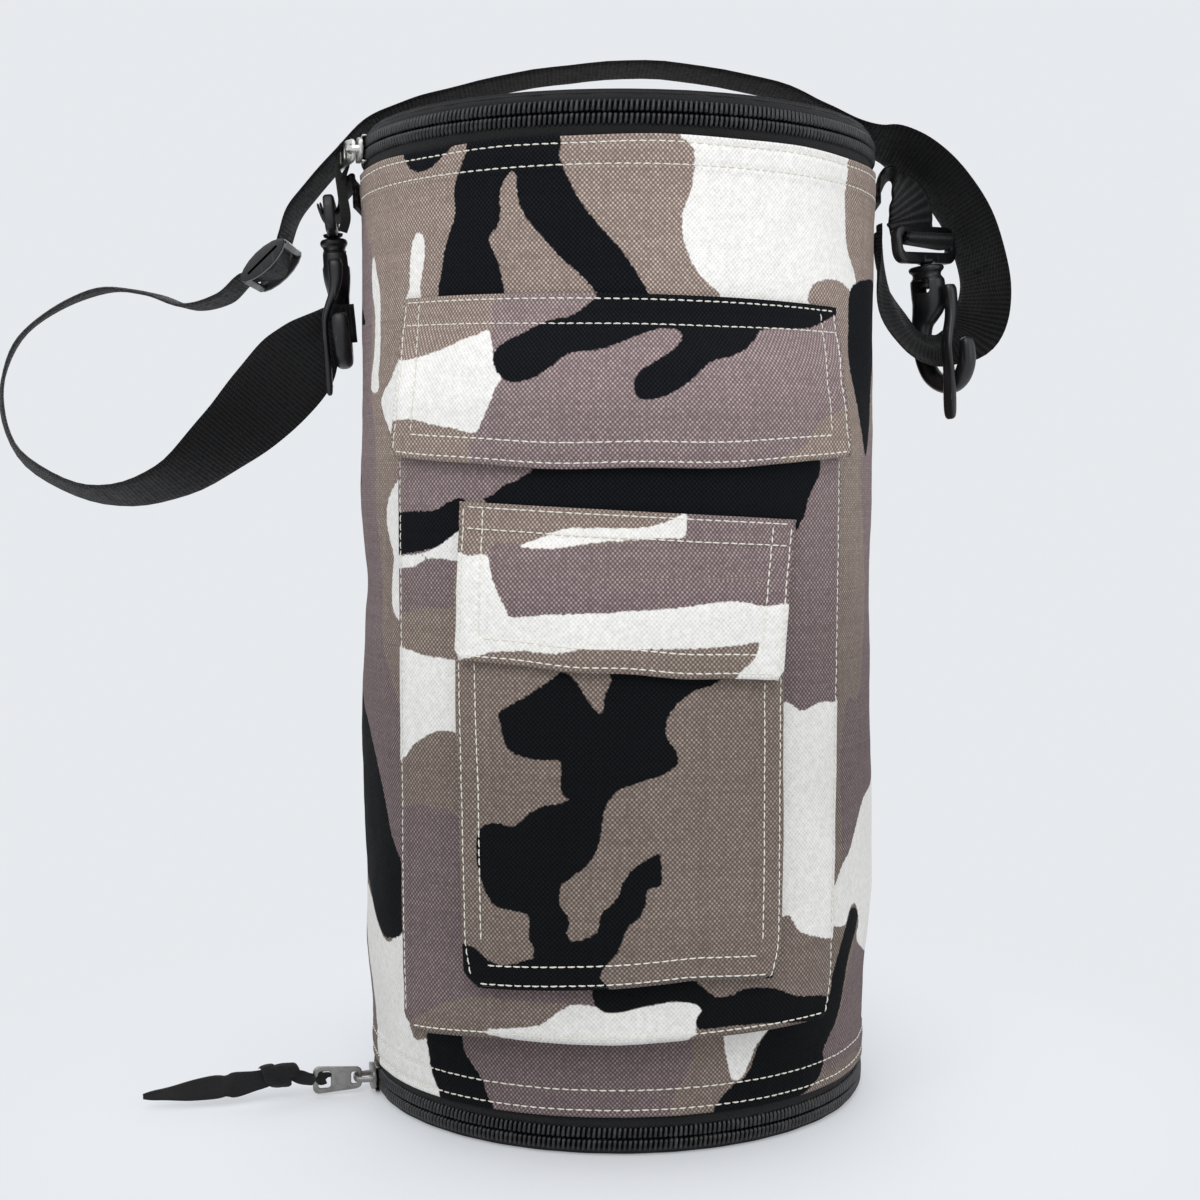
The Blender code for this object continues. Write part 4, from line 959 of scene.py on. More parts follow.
class Pocket:
    """Front face, side gussets and floor of a bellows pocket."""

    def __init__(self, r1, left, right, zb, top, base, seed, puff):
        self.r1, self.left, self.right, self.zb, self.top, self.base, self.puff = r1, left, right, zb, top, base, puff
        self.k = PI / 180 * r1
        self.mid, self.fine = Waves(seed, 8, 40.0, 90.0), Waves(seed + 1, 12, 8.0, 18.0)

    def edges(self, z):
        zl = z - np.interp(self.left[1][0], *self.zb)
        zr = z - np.interp(self.right[1][-1], *self.zb)
        le = np.interp(z, self.left[0], self.left[1]) + 2.4 * smooth01((9 - zl) / 9) ** 2
        ri = np.interp(z, self.right[0], self.right[1]) - 1.5 * smooth01((8 - zr) / 8) ** 2
        return le, ri

    def r(self, az, z):
        az, z = np.broadcast_arrays(np.asarray(az, float), np.asarray(z, float))
        le, ri = self.edges(z)
        d = np.minimum((az - le), (ri - az)) * self.k
        b = z - np.interp(az, *self.zb)
        p = pol(self.r1, az, z)
        soft = smooth01(d / 22) * smooth01(b / 26)
        r = self.r1 + self.puff * soft + 0.50 * self.mid(p) * smooth01(d / 12) + 0.10 * self.fine(p)
        r = r - 0.50 * bell(d - 1.9, 0.9) + 0.15 * bell(d - 4.5, 1.6)
        pucker = np.sin(z * 2 * PI / 7.3 + 1.7 * np.sin(z / 11.0))
        r = r + 0.16 * pucker * bell(d - 5.5, 2.6)
        r = r - 0.9 * smooth01((3.0 - d) / 3.0) ** 2 - 0.7 * smooth01((3.0 - b) / 3.0) ** 2
        r = r + 0.9 * bell(b - 20, 14) * smooth01(d / 20) - 1.1 * smooth01((110 - z) / 60)
        t = self.top - z
        r = r + 0.35 * smooth01((11 - t) / 1.4) - 0.45 * bell(t - 1.8, 0.9) - 0.45 * bell(t - 10.5, 0.9)
        return r

    def surf(self, az, z):
        return pol(self.r(az, z), az, z)

    def build(self, name, n_front, n_side, step, attrs_of, thick):
        zt = np.linspace(0, 1, int((self.top - 60) / step))
        s = np.linspace(0, 1, n_front)
        nf = 9  # floor rows
        rows_p, rows_uv = [], []
        for i in range(nf + len(zt)):
            floor = i < nf
            t = 0.0 if floor else zt[i - nf]
            # z along the row depends on where the bottom edge is
            az = None
            za = np.interp(0.5, [0, 1], [0, 1])
            le, ri = self.edges(np.array([np.interp(self.left[1][0], *self.zb) + 1e-3 + (self.top - np.interp(self.left[1][0], *self.zb)) * t]))
            az = le + (ri - le) * s
            z0 = np.interp(az, *self.zb)
            z = z0 + (self.top - z0) * t
            front = self.surf(az, z)
            u = az * self.k
            cols, cu = [], []
            for e in (0, -1):
                a, zz, rf = az[e], z[e], self.r(az[e], z[e])
                sg = -1.0 if e == 0 else 1.0
                g = np.linspace(0, 1, n_side, endpoint=False)
                rb = self.base(a, zz) - 0.4
                fold = 1.0 * np.sin(PI * g) * np.sin(zz / 23.0 + (2.0 if e else 0))
                ra = rb + (rf - rb) * g
                ga = a + sg * (1.6 * (1 - g) + np.degrees(fold / 131.0))
                pp = pol(ra, ga, zz)
                uu = u[e] + sg * (1 - g) * (rf - rb)
                if e == -1:
                    pp, uu = pp[::-1], uu[::-1]
                cols.append(pp)
                cu.append(uu)
            P = np.concatenate([cols[0], front, cols[1]])
            UU = np.concatenate([cu[0], u, cu[1]])
            ZZ = np.concatenate([np.full(n_side, z[0]), z, np.full(n_side, z[-1])])
            if floor:
                f = i / nf
                azs = np.degrees(np.arctan2(P[:, 0], -P[:, 1]))
                rr = np.hypot(P[:, 0], P[:, 1])
                rb = self.base(azs, ZZ) - 0.4
                x = np.clip((azs - le) / (ri - le), 0, 1)
                sag = 0.3 * np.sin(PI * f) * (1 + 0.5 * np.sin(7.0 * x)) - 2.0 * (1 - f)
                P = pol(rb + (rr - rb) * np.sin(PI / 2 * f) ** 0.9, azs, ZZ - sag)
                VV = ZZ - (1 - f) * (rr - rb)
            else:
                VV = ZZ
            rows_p.append(P)
            rows_uv.append(np.stack([UU, VV], -1))
        P, UV = np.array(rows_p), np.array(rows_uv)
        wv = np.concatenate([UV, 0 * UV[..., :1]], -1)
        ob = sheet(name, P, wv, [CANVAS, BACK], thick, attrs_of(UV), back=1, offset=-1.0)
        return ob


LP = Pocket(131.0, ((50, 303), (-43.7, -43.9)), ((50, 303), (43.7, 45.0)),
            ((-50, -43, -20, 0, 20, 46, 50), (47.5, 47.5, 51.5, 51.0, 53.0, 53.5, 53.5)), 303.0, wall_r, 71, 0.9)
SP = Pocket(140.2, ((72, 238), (-26.4, -27.9)), ((72, 238), (28.3, 28.4)),
            ((-30, -26, 0, 12, 28, 30), (73.5, 73.5, 76.5, 79.0, 77.0, 77.0)), 238.0, lambda a, z: LP.r(a, z), 81, 1.0)


def fix_normals(ob, ref):
    """Point the faces outward; ref is not used."""
    return outward(ob)


gl = scatter(91, 0, 10, 0, 10, [])
lp = LP.build("canvas_large_pocket", 104, 9, 2.3, lambda uv: camo(outlines("large_pocket"), uv), 1.2)
keep(outward(lp), "bag", "large_pocket")
sp = SP.build("canvas_small_pocket", 76, 7, 2.1, lambda uv: camo(outlines("small_pocket"), uv), 1.1)
keep(outward(sp), "bag", "small_pocket")


def flap_surf(F, t):
    """Outer face of a flap in (s, t)."""
    def f(s, tt):
        p = F.surf(s, tt)
        r = np.hypot(p[..., 0], p[..., 1])
        return p * np.stack([(r + t) / r, (r + t) / r, np.ones_like(r)], -1)
    return f


# ------------------------------------------------------------------ flaps
EDGE_T = (0.0, 0.08, 0.15, 0.25, 0.35, 0.42, 0.52, 0.62, 0.8, 1.0)


class Flap:
    def __init__(self, corners, dip, profile, k, seed, lift, left, right):
        (self.tl, self.tr, self.bl, self.br), self.dip, self.k, self.lift = corners, dip, k, lift
        self.left, self.right = left, right
        q = spline([(i / (len(profile) - 1.0) * 0 + t, r) for i, (t, r) in enumerate(profile)], 8)
        self.pt, self.pr = np.array([a for a, b in q]), np.array([b for a, b in q])
        self.mid, self.fine = Waves(seed, 8, 34.0, 80.0), Waves(seed + 1, 12, 7.0, 16.0)
        self.h = (self.tl[1] + self.tr[1] - self.bl[1] - self.br[1]) / 2

    def azz(self, s, t):
        s, t = np.broadcast_arrays(np.asarray(s, float), np.asarray(t, float))
        f = (s + 1) / 2
        le = np.interp(t, EDGE_T, self.left)
        ri = np.interp(t, EDGE_T, self.right)
        corner = 1.1 * smooth01((t - 0.93) / 0.07) ** 2 * np.abs(s) ** 24
        az = le + (ri - le) * f - np.sign(s) * corner
        zt = self.tl[1] + (self.tr[1] - self.tl[1]) * f
        zb = self.bl[1] + (self.br[1] - self.bl[1]) * f - self.dip * (1 - s * s)
        zb = zb + 0.5 * np.sin(s * 9.0 + 1) * (1 - s * s)
        return az, zt + (zb - zt) * t

    def dist(self, s, t):
        half = (self.tr[0] - self.tl[0]) / 2 * self.k
        return (1 - np.abs(s)) * half, t * self.h, (1 - t) * self.h

    def surf(self, s, t):
        s, t = np.broadcast_arrays(np.asarray(s, float), np.asarray(t, float))
        az, z = self.azz(s, t)
        r = np.interp(t, self.pt, self.pr)
        d, top, bot = self.dist(s, t)
        p = pol(130.0, az, z)
        r = r + 0.45 * self.mid(p) * smooth01(t * 3) + 0.09 * self.fine(p)
        edge = np.minimum(d, bot)
        r = r + 0.35 * smooth01((11.0 - edge) / 1.6)
        r = r - 0.45 * bell(d - 2.0, 0.9) - 0.45 * bell(bot - 2.0, 0.9) - 0.40 * bell(top - 2.0, 0.9) - 0.45 * bell(top - 11.2, 0.9)
        r = r - 0.35 * bell(d - 11.5, 0.9) * smooth01((bot - 8) / 3) - 0.35 * bell(bot - 9.2, 0.9) * smooth01((d - 9) / 3)
        puck = np.sin(s * 95.0 + 2.0 * np.sin(s * 17)) * bell(bot - 5.5, 2.6) + np.sin(t * 58.0 + 1.5 * np.sin(t * 9)) * bell(d - 6.5, 2.8)
        r = r + 0.15 * puck + 0.10 * np.sin(s * 110.0) * bell(top - 6.5, 3.0)
        r = r + self.lift * smooth01((t - 0.55) / 0.45) * (0.35 + 0.65 * np.abs(s) ** 5) + 0.35 * bell(bot - 0.0, 2.5)
        # shallow cross dents where the cloth breaks over the pocket's top edge
        r = r - 0.5 * bell(t - 0.52, 0.07) * (0.6 + 0.4 * np.sin(s * 8.0))
        return pol(r, az, z)

    def build(self, name, ns, nt, attrs_of, thick):
        t, s = np.meshgrid(np.linspace(0, 1, nt), np.linspace(-1, 1, ns), indexing="ij")
        P = flap_surf(self, thick)(s, t)
        az, z = self.azz(s, t)
        uv = np.stack([az * self.k, z], -1)
        wv = np.concatenate([uv, 0 * uv[..., :1]], -1)
        return sheet(name, P, wv, [CANVAS, BACK], thick, attrs_of(P), back=1, flip=True)


LF = Flap(((-49.1, 352.0), (50.4, 348.5), (-43.3, 286.6), (45.4, 286.6)), 5.6,
          [(0, 117.0), (0.15, 118.8), (0.42, 128.6), (0.62, 133.2), (0.80, 134.0), (1.0, 134.0)], PI / 180 * 133.9, 101, 0.8,
          (-49.1, -48.8, -48.4, -46.8, -45.0, -43.9, -43.0, -42.5, -42.6, -43.3), (50.4, 50.2, 49.8, 48.2, 46.5, 45.4, 44.5, 44.1, 44.3, 45.4))
SF = Flap(((-28.0, 268.0), (32.3, 260.6), (-26.2, 206.4), (26.6, 198.2)), 0.8,
          [(0, 132.6), (0.14, 134.0), (0.38, 139.8), (0.54, 142.8), (0.74, 143.5), (1.0, 143.6)], PI / 180 * 143.4, 111, 0.7,
          (-28.0, -27.9, -27.7, -27.2, -26.7, -26.4, -26.1, -26.0, -26.0, -26.2), (32.3, 31.9, 31.4, 30.4, 29.4, 28.8, 28.2, 27.7, 27.1, 26.6))
lf = LF.build("canvas_large_flap", 120, 46, lambda p: camo(outlines("large_flap"), seen("large_flap", p), base="G"), 1.3)
keep(outward(lf), "large_flap_body", "large_flap")
sf = SF.build("canvas_small_flap", 84, 40, lambda p: camo(outlines("small_flap"), seen("small_flap", p)), 1.25)
keep(outward(sf), "small_flap_body", "small_flap")


# hook-and-loop tapes
def grip(name, body, node, r_of, z0, z1, half, thick, mat, seed):
    z, a = np.meshgrid(rows_of((z0, z1, 0.8)), np.linspace(-half, half, int(half * 2 * 2.3 / 0.9)), indexing="ij")
    w = Waves(seed, 24, 1.6, 3.4)
    p0 = pol(131.0, a, z)
    edge = np.minimum(np.minimum(z - z0, z1 - z), (half - np.abs(a)) * 2.3)
    r = r_of(a, z) + 0.16 * w(p0) * smooth01(edge / 1.5) - 0.35 * smooth01((1.2 - edge) / 1.2)
    u = np.radians(a) * 131
    keep(outward(sheet(name, pol(r, a, z), np.stack([u, z, 0 * u], -1), mat, thick, offset=-1.0)), body, node)


grip("loop_tape_large", "bag", "large_pocket_loop_tape", lambda a, z: LP.r(a, z) + 0.75, 285.5, 299.5, 25.6, 0.9, LOOPS, 121)
grip("loop_tape_small", "bag", "small_pocket_loop_tape", lambda a, z: SP.r(a, z) + 0.75, 216.5, 233.5, 13.8, 0.9, LOOPS, 122)
grip("hook_tape_large", "large_flap_body", "large_flap_hook_tape", lambda a, z: 134.1 + 0 * a, 285.2, 299.0, 25.6, 1.0, HOOKS, 123)
grip("hook_tape_small", "small_flap_body", "small_flap_hook_tape", lambda a, z: 143.3 + 0 * a, 216.5, 227.5, 13.8, 0.9, HOOKS, 124)


# ------------------------------------------------------------------ stitches
class Seams:
    """All the stitches of one body, as small twisted bars of thread."""

    def __init__(self):
        self.v, self.f, self.w = [], [], []
        self.r = random.Random(5)

    def run(self, surf, line, pitch=3.7, length=3.0, width=0.72, lift=0.20):
        """line: (a, b) pairs in the coordinates of surf; straight between them."""
        q = []
        for (a0, b0), (a1, b1) in zip(line[:-1], line[1:]):
            n = 60
            for i in range(n):
                q.append((a0 + (a1 - a0) * i / n, b0 + (b1 - b0) * i / n))
        q.append(line[-1])
        q = np.array(q, float)
        e = 1e-3
        P = surf(q[:, 0], q[:, 1])
        Na = surf(q[:, 0] + e, q[:, 1]) - P
        Nb = surf(q[:, 0], q[:, 1] + e) - P
        N = np.cross(Na, Nb)
        N /= np.maximum(np.linalg.norm(N, axis=1), 1e-12)[:, None]
        out = P * (1, 1, 0)
        flat = (np.abs((N * out).sum(1)) < 1e-9)
        N = np.where(((N * out).sum(1) < 0)[:, None] & ~flat[:, None], -N, N)
        if getattr(surf, "up", 0):
            N = np.tile(np.array([0, 0, float(surf.up)]), (len(P), 1))
        L = np.concatenate([[0], np.cumsum(np.linalg.norm(np.diff(P, axis=0), axis=1))])
        total = L[-1]
        n = max(1, int((total - 0.8) / pitch))
        off = (total - n * pitch) / 2 + (pitch - length) / 2
        at = lambda s, A: np.array([np.interp(s, L, A[:, k]) for k in range(3)])
        for i in range(n):
            s0 = off + i * pitch + self.r.uniform(-0.15, 0.15)
            base = len(self.v)
            stages = ((0.0, 0.30, -0.30), (0.12, 0.75, 0.02), (0.5, 1.0, 1.0), (0.88, 0.75, 0.02), (1.0, 0.30, -0.30))
            side = self.r.uniform(-0.10, 0.10)
            for g, wd, hi in stages:
                s = s0 + g * length
                c, nrm = at(s, P), at(s, N)
                d = at(min(s + 0.3, total), P) - at(max(s - 0.3, 0), P)
                d /= max(np.linalg.norm(d), 1e-9)
                x = np.cross(d, nrm)
                x /= max(np.linalg.norm(x), 1e-9)
                c = c + nrm * (lift * hi + 0.10) + x * side * (g - 0.5) * 2
                for k in range(6):
                    a = 2 * PI * k / 6
                    self.v.append(tuple(c + x * math.cos(a) * width / 2 * wd + nrm * math.sin(a) * 0.26 * wd))
                    self.w.append((g * length, a, 0))
            for j in range(4):
                for k in range(6):
                    a0, a1 = base + j * 6 + k, base + j * 6 + (k + 1) % 6
                    self.f.append((a0, a1, a1 + 6, a0 + 6))
            self.f.append(tuple(base + k for k in range(6))[::-1])
            self.f.append(tuple(base + 24 + k for k in range(6)))

    def done(self, name, body, slot, mat):
        keep(outward(make(name, self.v, self.f, mat, None, {"wv": self.w})), body, slot=slot)


def wall_surf(az, z):
    return pol(wall_r(az, z) - 0.0, az, wall_z(az, z))


def around(z, a0=-180.0, a1=180.0, n=24):
    return [(a0 + (a1 - a0) * i / n, z) for i in range(n + 1)]


bag_seams = Seams()
for z in TOP_ROWS + BOT_ROWS:
    bag_seams.run(wall_surf, around(z), pitch=3.9, length=3.1)
# the canvas joins up the back with a flat-felled seam
bag_seams.run(wall_surf, [(177.6, z) for z in np.linspace(30, 398, 12)])
bag_seams.run(wall_surf, [(-177.6, z) for z in np.linspace(30, 398, 12)])


def pocket_rows(P, inset, zs, zb_off, top_rows=(1.8, 10.5)):
    k = P.k

    def edge(sign, d):
        out = []
        for z in zs:
            le, ri = P.edges(np.array([float(z)]))
            out.append(((le[0] + d / k) if sign < 0 else (ri[0] - d / k), z))
        return out

    def bottom(d, d_side):
        le, ri = P.edges(np.array([P.zb[1][1] + d]))
        return [(a, float(np.interp(a, *P.zb)) + d) for a in np.linspace(le[0] + d_side / k, ri[0] - d_side / k, 14)]

    return edge, bottom


e, b = pocket_rows(LP, 0, np.linspace(54, 301, 16), 0)
bag_seams.run(LP.surf, e(-1, 1.9))
bag_seams.run(LP.surf, e(1, 1.9))
bag_seams.run(LP.surf, b(2.6, 2.4))
for d in (1.8, 10.5):
    bag_seams.run(LP.surf, [(a, LP.top - d) for a in np.linspace(-44.5, 44.8, 16)])
    bag_seams.run(SP.surf, [(a, SP.top - d) for a in np.linspace(-26.4, 27.0, 12)])
e, b = pocket_rows(SP, 0, np.linspace(77, 236, 12), 0)
bag_seams.run(SP.surf, e(-1, 1.9))
bag_seams.run(SP.surf, e(1, 1.9))
bag_seams.run(SP.surf, b(2.0, 2.4))
bag_seams.run(SP.surf, [q for q in e(-1, 9.6) if q[1] > 84])
bag_seams.run(SP.surf, [q for q in e(1, 9.6) if q[1] > 84])
bag_seams.run(SP.surf, b(9.8, 9.6))
bag_seams.done("stitches_bag", "bag", "body_shell", THREAD)


def flap_seams(F, name, body, slot, thick, side_in, bottom_in, top_in):
    S = Seams()
    sf_ = flap_surf(F, thick)
    half = (F.tr[0] - F.tl[0]) / 2 * F.k
    h = F.h
    o = 1.9
    T = np.linspace(o / h, 1 - o / h, 10)
    ss = lambda d: 1 - d / half
    for sg in (-1, 1):
        S.run(sf_, [(sg * ss(o), t) for t in T])
        S.run(sf_, [(sg * ss(side_in), t) for t in np.linspace(o / h, 1 - bottom_in / h, 8)])
    for d, lim in ((o, ss(o)), (top_in, ss(o))):
        S.run(sf_, [(s, d / h) for s in np.linspace(-lim, lim, 20)])
    S.run(sf_, [(s, 1 - o / h) for s in np.linspace(-ss(o), ss(o), 20)])
    S.run(sf_, [(s, 1 - bottom_in / h) for s in np.linspace(-ss(side_in), ss(side_in), 18)])
    S.done(name, body, slot, THREAD)


flap_seams(LF, "stitches_large_flap", "large_flap_body", "large_flap", 1.3, 12.0, 9.2, 11.2)
flap_seams(SF, "stitches_small_flap", "small_flap_body", "small_flap", 1.25, 11.2, 9.2, 10.4)

# lid edge stitching, black on the binding
for side, z_row in (("top", None), ("bottom", None)):
    S = Seams()
    if side == "top":
        def top_ring(az, rr):
            q = np.clip(rr / 112.9, 0, 1)
            return pol(rr, az, 430.6 + 2.6 * (1 - q ** 4) + 0.62)
        top_ring.up = 1
        S.run(top_ring, [(a, 107.6) for a in np.linspace(-180, 180, 40)], pitch=3.6)
    else:
        def bot_ring(az, rr):
            return pol(rr, az, 0 * rr + 0.42)
        bot_ring.up = -1
        S.run(bot_ring, [(a, 105.2) for a in np.linspace(-180, 180, 40)], pitch=3.6, lift=0.08)
    S.done(f"stitches_{side}_lid", f"{side}_lid", f"{side}_lid_panel", DARK_THREAD)


# ------------------------------------------------------------------ webbing
def webbing(name, stations, mat, width0=38.0, per=6, layers=((0.0, 1.0),), u0=0.0, cut=None, raw=False):
    """Flat band with soft rounded edges. Stations are (x, y, z, width,
    thickness, turn[, twist]); where it is narrower than width0 it folds into pleats.
    layers: (offset in thicknesses, share of the thickness)."""
    st = spline(stations, per) if not raw else list(stations)
    if cut:
        st = cut(st)
    n = len(st)
    nc = 13
    ss = np.linspace(-1, 1, nc)
    V, F, WV = [], [], []
    for off, share in layers:
        rings, wvs = [], []
        run = u0
        last = None
        for i, s in enumerate(st):
            p = Vector(s[:3])
            d = (Vector(st[min(i + 1, n - 1)][:3]) - Vector(st[max(i - 1, 0)][:3])).normalized()
            turn = math.radians(s[5])
            w = Vector((-math.sin(turn), math.cos(turn), 0.0))
            w = (w - d * w.dot(d)).normalized()
            nrm = d.cross(w).normalized()
            if len(s) > 6:
                tw = math.radians(s[6])
                w, nrm = w * math.cos(tw) + nrm * math.sin(tw), nrm * math.cos(tw) - w * math.sin(tw)
            if last is not None:
                run += (p - last).length
            last = p
            half, t = s[3] / 2, s[4] * share
            slack = max(0.0, 1 - s[3] / width0)
            amp = min(1.2, 2.4 * slack) if width0 > 30 else 0.0
            ripple = 0.16 * math.sin(run / 9.0) + 0.10 * math.sin(run / 4.3 + 1.0)
            ring, wv = [], []
            for sgn in (1, -1):
                for q in (ss if sgn > 0 else ss[::-1]):
                    edge = (1 - abs(q) ** 10) ** 0.5
                    h = amp * math.cos(q * PI * 1.6) + ripple * q * q
                    h += 0.10 * t * math.exp(-((abs(q) - 0.93) / 0.05) ** 2) * sgn
                    h += sgn * t / 2 * max(edge, 0.12)
                    c = p + w * (half * q) + nrm * (h + off * s[4])
                    ring.append(tuple(c))
                    wv.append((q * width0 / 2, run, 0))
            rings.append(ring)
            wvs += wv
        v, f = tube_mesh(rings)
        b = len(V)
        V += v
        WV += wvs
        F += [tuple(b + k for k in q) for q in f]
    return outward(make(name, V, F, mat, None, {"wv": WV}))


def rot(deg, axis):
    return Matrix.Rotation(math.radians(deg), 4, axis)


R_HOOK = Matrix.Translation((140.0, 2.0, 384.0)) @ rot(-6.0, "Y") @ rot(-46.0, "Z")
L_HOOK = Matrix.Translation((-130.5, -2.0, 395.5)) @ rot(-5.0, "Y") @ rot(-84.0, "Z")
R_EYE = R_HOOK @ rot(94.0, "Z")
TG = Matrix.Translation((-158.0, -2.0, 374.5)) @ rot(46.0, "Y") @ rot(-90.0, "Z")


def rounded_rect(w, h, r, n=5):
    out = []
    for cx, cy, a0 in ((w / 2 - r, h / 2 - r, 0), (-w / 2 + r, h / 2 - r, 90), (-w / 2 + r, -h / 2 + r, 180), (w / 2 - r, -h / 2 + r, 270)):
        for k in range(n + 1):
            a = math.radians(a0 + 90 * k / n)
            out.append((cx + r * math.cos(a), cy + r * math.sin(a)))
    return out


def plate_bm(outer, holes, t, bevel, seg=3):
    """Plate in local XZ, thickness along Y, edges rounded."""
    bm = bmesh.new()
    loops = []
    for pts_ in [outer] + holes:
        vs = [bm.verts.new((x, -t / 2, z)) for x, z in pts_]
        loops += [bm.edges.new((vs[i], vs[(i + 1) % len(vs)])) for i in range(len(vs))]
    bmesh.ops.triangle_fill(bm, edges=loops, use_beauty=True)
    res = bmesh.ops.extrude_face_region(bm, geom=list(bm.faces))
    bmesh.ops.translate(bm, vec=(0, t, 0), verts=[g for g in res["geom"] if isinstance(g, bmesh.types.BMVert)])
    bmesh.ops.recalc_face_normals(bm, faces=bm.faces)
    sharp = [e for e in bm.edges if len(e.link_faces) == 2 and e.calc_face_angle(0) > 1.0]
    bmesh.ops.bevel(bm, geom=sharp, offset=bevel, segments=seg, affect="EDGES", profile=0.5, clamp_overlap=True)
    return bm


def shift_rect(cx, cz, w, h, r):
    return [(x + cx, z + cz) for x, z in rounded_rect(w, h, r, 3)]


def from_bm(name, bm, mat, m, smooth_angle=40.0):
    bmesh.ops.transform(bm, matrix=m, verts=bm.verts)
    bmesh.ops.recalc_face_normals(bm, faces=bm.faces)
    bmesh.ops.scale(bm, vec=(MM, MM, MM), verts=bm.verts)
    me = bpy.data.meshes.new(name)
    bm.to_mesh(me)
    bm.free()
    me.materials.append(mat)
    ob = bpy.data.objects.new(name, me)
    bpy.context.scene.collection.objects.link(ob)
    me.polygons.foreach_set("use_smooth", [True] * len(me.polygons))
    me.set_sharp_from_angle(angle=math.radians(smooth_angle))
    return ob


def rod_pts(stations, sides=24, per=5, power=0.85, groove=0.0):
    """Bar along a path near local XZ: (x, y, z, half X, half Y)."""
    st = spline(stations, per)
    n = len(st)
    rings = []
    for i, s in enumerate(st):
        p = Vector(s[:3])
        d = (Vector(st[min(i + 1, n - 1)][:3]) - Vector(st[max(i - 1, 0)][:3])).normalized()
        v = Vector((0, 1, 0))
        v = (v - d * v.dot(d)).normalized()
        u = d.cross(v).normalized()
        ring = []
        for k in range(sides):
            a = 2 * PI * (k + 0.5) / sides
            c, q = math.cos(a), math.sin(a)
            c1, q1 = math.copysign(abs(c) ** power, c), math.copysign(abs(q) ** power, q)
            dep = s[4] - groove * math.exp(-(c / 0.42) ** 2)
            ring.append(tuple(p + u * s[3] * c1 + v * dep * q1))
        rings.append(ring)
    return rings


def lathe(outline, sides=28):
    return [[(r * math.cos(2 * PI * k / sides), r * math.sin(2 * PI * k / sides), z) for k in range(sides)] for r, z in outline]


def bm_of(rings):
    v, f = tube_mesh(rings)
    bm = bmesh.new()
    vs = [bm.verts.new(p) for p in v]
    for q in f:
        bm.faces.new([vs[i] for i in q])
    bmesh.ops.recalc_face_normals(bm, faces=bm.faces)
    return bm


def join_bm(a, b):
    me = bpy.data.meshes.new("tmp")
    b.to_mesh(me)
    b.free()
    a.from_mesh(me)
    bpy.data.meshes.remove(me)
    return a


def carve(ob, cutter):
    m = ob.modifiers.new("cut", "BOOLEAN")
    m.operation, m.solver, m.object = "DIFFERENCE", "EXACT", cutter
    apply_all(ob)
    bpy.data.objects.remove(cutter, do_unlink=True)


